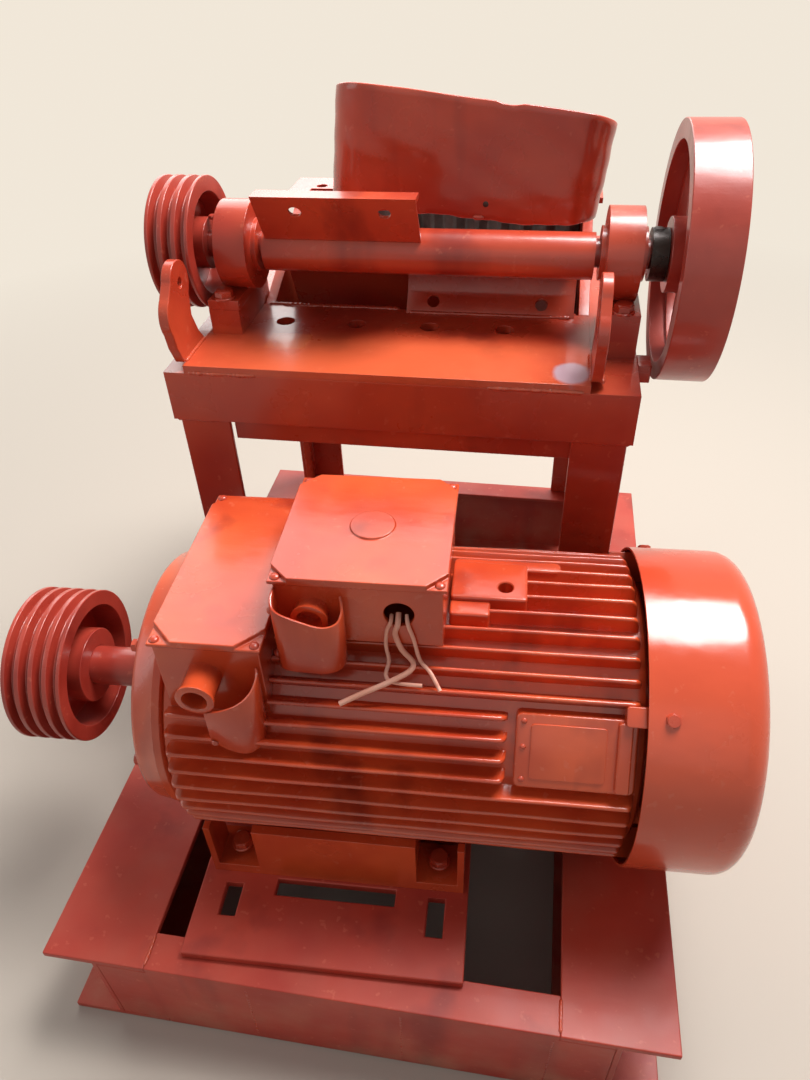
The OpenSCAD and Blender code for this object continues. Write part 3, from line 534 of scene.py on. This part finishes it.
def ribShape(angle, span, look, phase):
    # a tapered rib with a half-round tip, sinking to the core by a quarter circle at a free end
    left, right, leftFree, rightFree = span
    nose = look["nose"]
    steps = nose * (1 - np.cos(np.linspace(0, np.pi / 2, 7)))
    inner = np.linspace(left + nose, right - nose, max(int((right - left) / look["step"]), 3))
    along = np.concatenate([left + steps, inner[1:-1], (right - steps)[::-1]])
    fromEnd = np.minimum(along - left + (0 if leftFree else nose),
                         right - along + (0 if rightFree else nose))
    share = np.clip(fromEnd / nose, 0, 1)
    rise = np.sqrt(np.clip(1 - (1 - share) ** 2, 0, 1))
    ball = 1 + look["ball"] * np.exp(-((fromEnd - look["ballAt"]) / look["ballWide"]) ** 2)
    wave = look["wander"] * np.sin(along * look["waves"] + phase) - look["wander"]
    grown = {end: look[end] + (1 - look[end]) * rise for end in ("tipEnd", "rootEnd", "edgeEnd")}
    tip = look["core"] + (look["tip"] - look["core"]) * grown["tipEnd"] + wave
    root = look["root"] * grown["rootEnd"]
    edge = look["edge"] * ball * grown["edgeEnd"]
    turn = np.linspace(0, np.pi, 7)
    off = np.concatenate([np.stack([-root - look["flare"], -root], -1),
                          -edge[:, None] * np.cos(turn),
                          np.stack([root, root + look["flare"]], -1)], 1)
    core = np.full_like(tip, look["core"])
    sunk, foot = core - look["sunk"], np.minimum(core + look["foot"], tip)
    radius = np.concatenate([np.stack([sunk, foot], -1),
                             (tip - edge)[:, None] + edge[:, None] * np.sin(turn),
                             np.stack([foot, sunk], -1)], 1)
    return loft(offAngle(along[:, None], angle, off, radius))


def ringOf(outline, sides):
    # a closed outline of (along, radius) turned about the motor's axis
    profile = np.array(outline)
    angle = np.linspace(0, 2 * np.pi, sides, endpoint=False)
    return closedGrid(aroundMotor(profile[:, :1], angle, profile[:, 1:]))


def casingCore(look):
    # the barrel with its chamfered ends and the bore of the shaft
    left, right, core, chamfer = look["left"], look["right"], look["core"], look["chamfer"]
    outline = [(left, look["bore"]), (left, core - chamfer), (left + chamfer, core),
               (right - chamfer, core), (right, core - chamfer), (right, look["bore"])]
    return ringOf(outline, look["sides"])


def upright(x, y, height):
    # a place above the motor's axis, height counted from the axis
    return fromMotor(np.stack([x, y, motorHeight + height], -1))


def onSide(degrees):
    # a place on the barrel's side, height counted outwards from the axis
    angle = math.radians(degrees)
    return lambda x, off, radius: offAngle(x, angle, off, radius)


parts = [casingCore(casing)]
for count in range(casing["ribs"]):
    ribAngle = (count + 0.5) * 2 * math.pi / casing["ribs"]
    for ribSpan in ribSpans(ribAngle, casing):
        parts.append(ribShape(ribAngle, ribSpan, casing, count * casing["phase"]))
for pad in pads:
    parts.append(pillow(pad, onSide(pad["side"]) if "side" in pad else upright))
addPiece("motorCasing", joined(parts), "machine_frame", "motor_paint", 42.0, ("motor_body",))

# Shield at the drive end, where the casing ends: an outline of (along the axis, radius)
shield = {"outline": [(-0.2128, 0.0246), (-0.2128, 0.1500), (-0.2135, 0.1530), (-0.2150, 0.1544),
                      (-0.2230, 0.1546), (-0.2245, 0.1530), (-0.2440, 0.1500), (-0.2480, 0.1480),
                      (-0.2500, 0.1440), (-0.2560, 0.1240), (-0.2590, 0.0800), (-0.2605, 0.0660),
                      (-0.2690, 0.0620), (-0.2710, 0.0590), (-0.2710, 0.0246)], "sides": 144}
addPiece("driveShield", ringOf(shield["outline"], shield["sides"]), "machine_frame",
         slotOf["drive_end_shield"], rounding["smooth"], ("drive_end_shield",))
print("motor casing built")

# Small parts that repeat: screws, rivets, weld beads and bent sheets; a bolt's sizes are shares
# of its thread
boltLook = {"washer": 1.1, "washerEdge": 1.02, "washerTop": 0.2, "washerSide": 0.14, "seat": 0.18,
            "hole": 0.6, "head": 0.98, "headTop": 0.84, "height": 0.66, "chamfer": 0.08,
            "stub": 0.8, "stubTop": 0.78, "stubHeight": 0.05, "stubEnd": 0.3, "stubDome": 0.08}
beadLook = {"pitch": 0.0062, "perPitch": 5, "sides": 8, "even": 0.8, "ripple": 0.2, "drift": 0.14,
            "shift": 0.12, "end": 0.15, "lean": (0.36, 0.48, 0.8)}


def frameAt(place, axis, spin=0.0):
    # a place and three directions there: two across the axis, turned by the spin, and the axis
    axis = Vector(axis).normalized()
    aside = Vector((0.31, 0.22, 0.93) if abs(axis.z) < 0.9 else (1, 0, 0))
    side = axis.cross(aside).normalized()
    other = axis.cross(side)
    c, s = math.cos(spin), math.sin(spin)
    directions = side * c + other * s, other * c - side * s, axis
    return np.array(place, float), *(np.array(direction) for direction in directions)


def turned(profile, place, axis, sides=24, spin=0.0):
    # profile of (radius, height) pairs turned about an axis, both ends closed
    start, side, other, up = frameAt(place, axis, spin)
    angle = np.linspace(0, 2 * np.pi, sides, endpoint=False)
    circle = np.cos(angle)[:, None] * side + np.sin(angle)[:, None] * other
    sections = [start + radius * circle + height * up for radius, height in profile]
    return loft(sections)


def hexBolt(place, axis, size, spin=0.0, washer=True):
    # a washer, a six-sided head with its top corners turned off, and the thread's end
    look = {key: size * share for key, share in boltLook.items()}
    parts = []
    base = 0.0
    if washer:
        parts.append(turned([(look["washer"], -0.0005), (look["washer"], look["washerSide"]),
                             (look["washerEdge"], look["washerTop"]),
                             (look["hole"], look["washerTop"])], place, axis))
        base = look["seat"]
    top = base + look["height"]
    parts.append(turned([(look["head"], base), (look["head"], top - look["chamfer"]),
                         (look["headTop"], top)], place, axis, 6, spin))
    parts.append(turned([(look["stub"], top - 0.0002), (look["stubTop"], top + look["stubHeight"]),
                         (look["stubEnd"], top + look["stubDome"])], place, axis))
    return joined(parts)


def domeScrew(place, axis, radius, height):
    # an ellipse from the rim at the radius nearly up to the height, then flat
    turn = np.linspace(0, np.pi / 2 * 0.94, 6)
    profile = [(radius, -0.0004)] + list(zip(radius * np.cos(turn), height * np.sin(turn)))
    return turned(profile, place, axis, 20)


def weldBead(line, radius, look, seed):
    # a round bead along a line that swells once a pitch, each swell a little different
    pitch, perPitch = look["pitch"], look["perPitch"]
    p = np.asarray(line, float)
    lengths = lengthsAlong(p)
    count = max(int(lengths[-1] / pitch * perPitch), 8)
    at = np.linspace(0, lengths[-1], count)
    middle = np.stack([np.interp(at, lengths, p[:, k]) for k in range(3)], -1)
    rng = np.random.default_rng(seed)
    knots = np.linspace(0, lengths[-1], max(count // perPitch, 4))
    drift = np.interp(at, knots, rng.uniform(-1, 1, len(knots)))
    ripple = np.abs(np.sin(np.pi * at / pitch + drift))
    ends = np.clip(np.minimum(at, lengths[-1] - at) / radius, look["end"], 1) ** 0.5
    size = radius * (look["even"] + look["ripple"] * ripple + look["drift"] * drift) * ends
    along = unit(np.gradient(middle, axis=0))
    side = unit(np.cross(along, look["lean"]))
    other = np.cross(along, side)
    angle = np.linspace(0, 2 * np.pi, look["sides"], endpoint=False)[None, :, None]
    middle = middle + (side + other) * (drift * radius * look["shift"])[:, None]
    circle = np.cos(angle) * side[:, None] + np.sin(angle) * other[:, None]
    return loft(middle[:, None] + size[:, None, None] * circle)


def bentSheet(plan, lows, highs, thickness, place):
    # a plan curve of (x, y) swept up, its lower and upper edge each a height per plan point
    flat = smoothRoute(np.column_stack([plan, lows, highs]), 5)
    ahead = unit(np.gradient(flat[:, :2], axis=0))
    across = np.stack([-ahead[:, 1], ahead[:, 0]], -1)
    # the section: half circles over the upper and under the lower edge
    turn = np.linspace(-np.pi / 2, np.pi / 2, 5)
    half = thickness / 2
    offs = np.concatenate([half * np.sin(turn), -half * np.sin(turn)])
    lifts = np.concatenate([half * np.cos(turn), -half * np.cos(turn)])
    top = np.concatenate([np.ones(5), np.zeros(5)])
    level = flat[:, 2:3] * (1 - top) + flat[:, 3:4] * top + lifts
    x = flat[:, :1] + across[:, :1] * offs
    y = flat[:, 1:2] + across[:, 1:2] * offs
    return loft(place(x, y, level))


def atMotor(x, y, z):
    # a place beside the motor's axis, height counted from the floor
    return fromMotor(np.stack([x, y, z], -1))


def tubeEnd(x, y0, y1, z, outer, inner, lip):
    # an open tube towards the front with a rolled lip, as (y, radius) turned about its middle
    angle = np.linspace(0, 2 * np.pi, 40, endpoint=False)
    profile = np.array([(y0, outer), (y1 + 0.006, outer), (y1 + 0.004, outer + lip),
                        (y1 + 0.001, outer + lip), (y1, outer - 0.001), (y1, inner + 0.001),
                        (y1 + 0.002, inner), (y0, inner)])
    y, radius = np.repeat(profile[:, :1], len(angle), 1), profile[:, 1:]
    return closedGrid(atMotor(x + radius * np.cos(angle), y, z + radius * np.sin(angle)))


# Clamp sheets as (x, y) plans with their lower and upper edges, and two entry tubes as x, y from,
# y to, height, outer and inner radius and lip
clamps = {"mainPlan": [(-0.0805, -0.0885), (-0.080, -0.105), (-0.073, -0.1155), (-0.050, -0.117),
                       (-0.030, -0.1165), (-0.017, -0.110), (-0.0135, -0.099), (-0.0165, -0.0895)],
          "mainLow": (0.505, 0.503, 0.501, 0.500, 0.500, 0.502, 0.508, 0.514),
          "mainHigh": (0.584, 0.582, 0.577, 0.567, 0.561, 0.562, 0.569, 0.577),
          "sidePlan": [(-0.150, -0.1545), (-0.132, -0.1575), (-0.113, -0.156), (-0.1005, -0.148),
                       (-0.0965, -0.137), (-0.0985, -0.127)],
          "sideLow": (0.428, 0.419, 0.414, 0.420, 0.436, 0.452),
          "sideHigh": (0.470, 0.478, 0.488, 0.498, 0.506, 0.510), "sheet": 0.0028,
          "tubes": [(-0.046, -0.087, -0.103, 0.556, 0.017, 0.012, 0.0015),
                    (-0.155, -0.124, -0.158, 0.492, 0.018, 0.012, 0.0015)]}
parts = [bentSheet(clamps[at + "Plan"], clamps[at + "Low"], clamps[at + "High"], clamps["sheet"],
                   atMotor) for at in ("main", "side")]
parts += [tubeEnd(*tube) for tube in clamps["tubes"]]
addPiece("cableClamps", joined(parts), "machine_frame", slotOf["cable_clamps"], 38.0,
         ("cable_clamps",))
print("cable clamps bent")

# Lead wires out of the main terminal box, routes beside the motor's axis, in metres
leadWires = {
    "leadWireLong": {
        "node": "lead_wire_long", "diameter": 0.0056, "length": 0.153,
        "route": [(0.038, -0.081, 0.553), (0.038, -0.0902, 0.546), (0.035, -0.0904, 0.533),
                  (0.041, -0.091, 0.512), (0.052, -0.095, 0.500), (0.050, -0.104, 0.496),
                  (0.029, -0.116, 0.490), (0.006, -0.1235, 0.4815), (-0.018, -0.1305, 0.4705)]},
    "leadWireMiddle": {
        "node": "lead_wire_middle", "diameter": 0.004, "length": 0.114,
        "route": [(0.031, -0.081, 0.550), (0.031, -0.0886, 0.547), (0.027, -0.0896, 0.537),
                  (0.025, -0.0896, 0.515), (0.028, -0.094, 0.498), (0.026, -0.106, 0.490),
                  (0.034, -0.1115, 0.486), (0.063, -0.1125, 0.485)]},
    "leadWireShort": {
        "node": "lead_wire_short", "diameter": 0.004, "length": 0.095,
        "route": [(0.046, -0.081, 0.551), (0.048, -0.0894, 0.545), (0.053, -0.0898, 0.527),
                  (0.059, -0.092, 0.499), (0.070, -0.102, 0.494), (0.081, -0.1155, 0.4825)]}}

for wireName, wire in leadWires.items():
    line = fromMotor(smoothRoute(wire["route"], 3))
    print(wireName, "runs", round(float(lengthsAlong(line)[-1]), 4), "m")
    curve = bpy.data.curves.new(wireName, "CURVE")
    curve.dimensions = "3D"
    curve.bevel_depth = wire["diameter"] / 2
    curve.bevel_resolution = 4
    curve.use_fill_caps = True
    spline = curve.splines.new("POLY")
    spline.points.add(len(line) - 1)
    spline.points.foreach_set("co", np.column_stack([line, np.ones(len(line))]).ravel())
    cord = linked(wireName, curve)
    curve.materials.append(finishes["wire_paint"])
    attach(cord, "machine_frame")
    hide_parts(wire["node"])
print("lead wires laid")

# Frame nodes with their edges rounded, by the radius
edges = {
    0.0014: ["base_beam_left", "base_beam_right", "front_channel", "middle_channel",
             "rear_channel"],
    0.0016: ["motor_plate", "motor_feet", "legs", "top_frame", "deck_plate", "ears"],
    0.0012: ["side_plate_left", "side_plate_right", "rear_wall", "front_wall", "bearing_pedestals",
             "raised_cover", "rear_cover", "toggle_plate", "toggle_seat"],
    0.0020: ["bearing_housing_left", "bearing_housing_right", "main_terminal_box",
             "side_terminal_box", "main_box_lid", "side_box_lid"],
    0.0010: ["fan_cover", "cooling_fan", "motor_shaft", "motor_pulley", "eccentric_shaft",
             "crusher_pulley", "flywheel", "clamping_collar", "swing_jaw", "fixed_jaw_liner",
             "swing_jaw_liner"]}
for width, names in edges.items():
    for name in names:
        softCopy(name, width)
print("edges rounded")

# what shows of the frame itself wears its slot's finish
for slotNode, slotName in slotOf.items():
    shown = frame["nodes"][slotNode]
    shown.data.materials.clear()
    shown.data.materials.append(finishes[slotName])

# Hopper: one bent sheet, leaned to the flywheel side, its lower edge sagging at the front
hopperSheet = {"wide": 0.345, "deep": 0.200, "corner": 0.045, "sheet": 0.004, "lip": 0.001,
               "lean": 6.8, "foot": (0.041, 0.776, 0.750), "height": 0.157, "drop": 0.072,
               "cutRise": 0.026, "cutFrom": 0.062, "cutReach": 0.110, "cutSlope": 1.3,
               "frontFrom": 0.02, "frontWide": 0.06, "sag": 0.009, "sagAt": 0.135,
               "sagWide": 0.085, "nick": 0.0025, "nickAt": 0.084, "nickWide": 0.013,
               "buckle": 0.0008, "rows": 18, "columns": 240}


def evenly(points, count):
    # a closed line sampled at equal steps, with its outward direction
    closed = np.vstack([points, points[:1]])
    lengths = lengthsAlong(closed)
    at = np.linspace(0, lengths[-1], count, endpoint=False)
    even = np.stack([np.interp(at, lengths, closed[:, k]) for k in range(2)], -1)
    ahead = unit(np.roll(even, -1, 0) - np.roll(even, 1, 0))
    return even, np.stack([ahead[:, 1], -ahead[:, 0]], -1)


def hopperShape(look):
    # a round-cornered outline swept up the leaned walls, outside, over the rim and down inside
    lean = math.radians(look["lean"])
    outline = ring(-look["wide"] / 2, look["wide"] / 2, -look["deep"] / 2, look["deep"] / 2,
                   look["corner"], 16)
    flat, outward = evenly(outline, look["columns"])
    x, y = flat[:, 0], flat[:, 1]
    footX, footY, footZ = look["foot"]
    across = footX + x
    front = np.clip((-y - look["frontFrom"]) / look["frontWide"], 0, 1)
    # lower edge: cut up towards the front, sagging right of the middle, a little uneven
    cut = np.clip(look["cutFrom"] - y, 0, 1) / (look["cutFrom"] + look["cutReach"])
    low = look["cutRise"] * cut
    low = low - math.tan(math.radians(look["cutSlope"])) * across * (y < look["cutFrom"])
    low = low - front * look["sag"] * np.exp(-((across - look["sagAt"]) / look["sagWide"]) ** 2)
    uneven = 0.0007 * np.sin(across * 95) + 0.0004 * np.sin(across * 230 + 1)
    low = np.maximum(low + front * uneven, 0)
    low = (low + x * math.sin(lean)) / math.cos(lean)
    # upper edge: falls towards the far side, with a nick at the front
    high = look["height"] - look["drop"] * (y + look["deep"] / 2) / look["deep"]
    nick = np.exp(-((across - look["nickAt"]) / look["nickWide"]) ** 4) * front
    high = high - look["nick"] * nick - 0.0004 * (1 + np.sin(across * 40))
    # one section, up outside and down inside, its long edges chamfered by the lip
    rows, lip, sheet = look["rows"], look["lip"], look["sheet"]
    rise, wall = np.linspace(0, 1, rows), np.zeros(rows - 2)
    shares = np.concatenate([rise, [1, 1], rise[::-1], [0, 0]])[:, None]
    inset = np.concatenate([np.zeros(rows), [lip, sheet - lip], np.full(rows, sheet),
                            [sheet - lip, lip]])[:, None]
    lift = np.concatenate([[lip], wall, [-lip, 0, 0, -lip], wall, [lip, 0, 0]])[:, None]
    level = low + (high - low) * shares + lift
    buckle = look["buckle"] * (1 + 0.6 * np.sin(9 * shares + across * 17) * np.sin(across * 41 + 2)
                               + 0.4 * np.sin(23 * shares + across * 71))
    offset = inset + buckle
    px = x - outward[:, 0] * offset
    py = y - outward[:, 1] * offset
    points = np.stack([footX + px * math.cos(lean) + level * math.sin(lean), footY + py,
                       footZ - px * math.sin(lean) + level * math.cos(lean)], -1)
    return closedGrid(points)


addPiece("hopperSheet", hopperShape(hopperSheet), "machine_frame", "red_paint", 50.0, ("hopper",))
# a dark disc on the sheet's front, painted shade in place of a hole through the sheet
hopperHoleShade = {"outline": [(0.0036, -0.002), (0.0036, -0.0006), (0.0030, -0.0004)],
              "place": (0.077, 0.676, 0.787)}
addPiece("hopperHoleShade", turned(hopperHoleShade["outline"], hopperHoleShade["place"], (0, -1, 0)),
         "machine_frame", "dark_steel", 35.0)

# Fasteners in metres, all beside the motor's axis but the bearings' bolts; a bolt's size is its
# thread, its spin the radians that its head is turned for each unit of its place, and a dome is
# its radius and height
feet = {"x": (-0.164, 0.080), "y": (-0.128, 0.128), "top": 0.186, "size": 0.012, "spin": (40, 9)}
bearingFeet = {"x": (-0.237, 0.250), "y": (0.559, 0.661), "top": 0.704, "size": 0.012,
               "spin": (31, 17)}
coverScrews = {"along": 0.304, "degrees": (45, 135, 225, 315), "radius": 0.178, "size": 0.0075,
               "spin": 0.3}
shieldBolts = {"along": -0.2530, "degrees": (30, 90, 150, 210, 270, 330), "radius": 0.131,
               "size": 0.008}
mainLid = {"along": (-0.079, 0.079), "across": (-0.084, 0.074), "top": 0.594}
sideLid = {"along": (-0.199, -0.098), "across": (-0.121, 0.112), "top": 0.536}
lidDome, hoodDome, rivetDome = (0.0052, 0.0030), (0.0042, 0.0034), (0.0030, 0.0022)
plateRivets = {"along": 0.1648, "offs": (-0.031, -0.004, 0.030), "radius": 0.1618, "degrees": 60}
hoodScrews = [((-0.0805, -0.1075, 0.572), (-0.8, -0.6, 0)),
              ((-0.0815, -0.106, 0.512), (-0.8, -0.6, 0)),
              ((-0.146, -0.1565, 0.4265), (-0.2, -1, -0.4))]
upwards = (0, 0, 1)


def turnedAxis(axis):
    # a direction beside the motor's axis, turned into the part's frame
    ends = fromMotor(np.array([(0.0, 0.0, 0.0), axis]))
    return tuple(ends[1] - ends[0])


def radialAt(along, degrees, radius):
    # a place on the barrel and the direction outwards there
    ends = aroundMotor(along, math.radians(degrees), np.array([radius, radius + 1]))
    return tuple(ends[0]), tuple(ends[1] - ends[0])


parts = []
for bolts, place in ((feet, fromMotor), (bearingFeet, np.array)):
    for x in bolts["x"]:
        for y in bolts["y"]:
            spin = x * bolts["spin"][0] + y * bolts["spin"][1]
            parts.append(hexBolt(place((x, y, bolts["top"])), upwards, bolts["size"], spin))
for degrees in coverScrews["degrees"]:
    place, axis = radialAt(coverScrews["along"], degrees, coverScrews["radius"])
    parts.append(hexBolt(place, axis, coverScrews["size"], degrees * coverScrews["spin"]))
for degrees in shieldBolts["degrees"]:
    place, axis = radialAt(shieldBolts["along"], degrees, shieldBolts["radius"])
    parts.append(hexBolt(place, turnedAxis((-1.0, 0.0, 0.0)), shieldBolts["size"], degrees))
for lid in (mainLid, sideLid):
    for x in lid["along"]:
        for y in lid["across"]:
            parts.append(domeScrew(fromMotor((x, y, lid["top"])), upwards, *lidDome))
for place, axis in hoodScrews:
    parts.append(domeScrew(fromMotor(place), turnedAxis(axis), *hoodDome))
for off in plateRivets["offs"]:
    angle = math.radians(plateRivets["degrees"])
    place = offAngle(plateRivets["along"], angle, off, plateRivets["radius"])
    outwards = offAngle(plateRivets["along"], angle, off, plateRivets["radius"] + 1) - place
    parts.append(domeScrew(place.ravel(), tuple(outwards.ravel()), *rivetDome))
addPiece("fasteners", joined(parts), "machine_frame", "red_paint", 35.0)

# Set screws on the crusher's shaft: place, size, spin, slot
setScrews = {"collarScrew": ((0.282, 0.610, 0.7795), 0.0075, 0.3, "dark_steel"),
             "hubScrew": ((-0.2555, 0.610, 0.7845), 0.006, 0.1, "wheel_paint")}
for name, (place, size, spin, slot) in setScrews.items():
    addPiece(name, hexBolt(place, upwards, size, spin, False), "crusher_rotor", slot, 35.0)

# Small block welded on the right-hand angle of the stand's top
sideBlock = {"box": (0.2725, 0.2895, 0.533, 0.562), "low": 0.628, "high": 0.650, "corner": 0.002,
             "soft": 0.0018}
addPiece("sideBlock", pillow(sideBlock, lambda x, y, z: np.stack([x, y, z], -1)),
         "machine_frame", "red_paint", 35.0)

# Weld beads: start, end and radius, in metres, most of them on an edge of a node of the frame
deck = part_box("deck_plate")
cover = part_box("rear_cover")
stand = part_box("top_frame")
(deckLeft, deckFront, deckUnder), (deckRight, deckBack, deckTop) = deck
backEdge = (deckBack + 0.0005, deckTop - 0.001)
frontEdge = (deckFront + 0.001, deckUnder + 0.0005)
coverEdge = (cover[1][1] - 0.004, cover[1][2] - 0.001)
coverFoot = (cover[0][1] + 0.001, deckTop + 0.001)
beads = [((-0.212, *backEdge), (-0.03, *backEdge), 0.0042),
         ((0.03, *backEdge), (0.2, *backEdge), 0.0044),
         ((deckLeft + 0.004, *frontEdge), (deckLeft + 0.09, *frontEdge), 0.0030),
         ((0.10, *frontEdge), (deckRight - 0.006, *frontEdge), 0.0030),
         ((0.156, *coverEdge), (0.192, *coverEdge), 0.0036)]
# along the feet of the two ears
for x, y0, y1 in ((-0.2635, 0.470, 0.536), (0.2165, 0.470, 0.536), (0.2295, 0.468, 0.538)):
    beads.append(((x, y0, deckTop + 0.0002), (x, y1, deckTop + 0.0002), 0.0032))
# under the hopper and along the cover's foot
beads.append(((0.061, 0.6755, 0.7715), (0.075, 0.6755, 0.7710), 0.0032))
beads.append(((cover[0][0] + 0.004, *coverFoot), (cover[1][0] - 0.004, *coverFoot), 0.0026))
# up the front channel and where the channels meet the beams
seam = {"sunk": 0.0016, "low": 0.012, "high": 0.138, "lean": 0.003, "inset": 0.004,
        "radius": 0.0022}
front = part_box("front_channel")
for x in (-0.118, 0.060, 0.226):
    y = front[0][1] + seam["sunk"]
    beads.append(((x, y, seam["low"]), (x + seam["lean"], y, seam["high"]), seam["radius"]))
for channel in (front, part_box("middle_channel"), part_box("rear_channel")):
    for x in (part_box("base_beam_left")[1][0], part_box("base_beam_right")[0][0]):
        top = channel[1][2] + 0.0001
        beads.append(((x, channel[0][1] + seam["inset"], top),
                      (x, channel[1][1] - seam["inset"], top), seam["radius"]))
# under the corners of the stand's top
for x in (stand[0][0] + 0.003, stand[1][0] - 0.003):
    for y in (stand[0][1] + 0.003, stand[1][1] - 0.003):
        into = 0.058 if x < 0 else -0.058
        beads.append(((x, y, stand[0][2]), (x + into, y, stand[0][2]), 0.0028))
parts = [weldBead(bead[:2], bead[2], beadLook, count) for count, bead in enumerate(beads)]
addPiece("weldBeads", joined(parts), "machine_frame", "red_paint", 60.0)
print("fasteners and weld beads placed")


def shownWhere(tree, share, first, second, output):
    # the first shader, and the second as far as the share says
    both = tree.nodes.new("ShaderNodeMixShader")
    for index, part in enumerate((share, first.outputs[0], second.outputs[0])):
        tree.links.new(part, both.inputs[index])
    tree.links.new(both.outputs[0], tree.nodes[output].inputs["Surface"])


# Floor and light; the far colour takes over between the two distances from the middle
floor = {"size": 40.0, "colour": (0.46, 0.40, 0.34), "far": (0.88, 0.80, 0.69), "drop": 0.0008,
         "near": 0.75, "away": 2.6, "middle": (0.0, 0.45, 0.0), "roughness": 0.9, "specular": 0.1}
points = np.array([(-1, -1), (1, -1), (1, 1), (-1, 1)]) * floor["size"] / 2
mesh = bpy.data.meshes.new("floor")
mesh.from_pydata([(x, y, -floor["drop"]) for x, y in points], [], [(0, 1, 2, 3)])
ground = linked("floor", mesh)
plain, tree, shader, where = startFinish("floorFinish")
shader.inputs["Base Color"].default_value = (*floor["colour"], 1)
shader.inputs["Roughness"].default_value = floor["roughness"]
shader.inputs["Specular IOR Level"].default_value = floor["specular"]
# away from the machine the camera and the gloss see an even pale floor, which lights nothing
distance = nodeOf(tree, "ShaderNodeVectorMath", operation="DISTANCE")
tree.links.new(where, distance.inputs[0])
distance.inputs[1].default_value = floor["middle"]
share = spread(tree, distance.outputs["Value"], floor["near"], floor["away"])
share = times(tree, share, seenRays(tree))
even = nodeOf(tree, "ShaderNodeEmission", Color=(*floor["far"], 1), Strength=1.0)
shownWhere(tree, share, shader, even, "Material Output")
mesh.materials.append(plain)

# Lamps: place, aim and size in metres, power in watts
lamps = {
    "above": {"place": (0.95, 1.22, 3.1), "aim": (0.0, 0.40, 0.5), "size": 1.4, "power": 165},
    "behind": {"place": (-1.2, 3.9, 2.9), "aim": (0, 0.4, 0.5), "size": 3.4, "power": 115},
    "left": {"place": (-2.7, -0.7, 1.8), "aim": (-0.2, 0.4, 0.5), "size": 1.8, "power": 20},
    "front": {"place": (0.4, -3.0, 2.2), "aim": (0, 0.3, 0.4), "size": 2.6, "power": 8}}
for lampName, lamp in lamps.items():
    data = bpy.data.lights.new(lampName, "AREA")
    data.size = lamp["size"]
    data.energy = lamp["power"]
    made = linked(lampName, data)
    made.location = lamp["place"]
    made.rotation_euler = (Vector(lamp["aim"]) - made.location).to_track_quat("-Z", "Y").to_euler()

sky = {"colour": (0.93, 0.95, 1.0), "strength": 0.24}
world = bpy.data.worlds.new("studio")
world.use_nodes = True
tree = world.node_tree
air = tree.nodes["Background"]
air.inputs["Color"].default_value = (*sky["colour"], 1)
air.inputs["Strength"].default_value = sky["strength"]
# behind the floor's end the camera and the gloss see a pale wall, which lights nothing
pale = nodeOf(tree, "ShaderNodeBackground", Color=(*floor["far"], 1), Strength=1.0)
shownWhere(tree, seenRays(tree), air, pale, "World Output")
bpy.context.scene.world = world
bpy.context.scene.view_settings.view_transform = "Standard"
print("floor and lamps set")
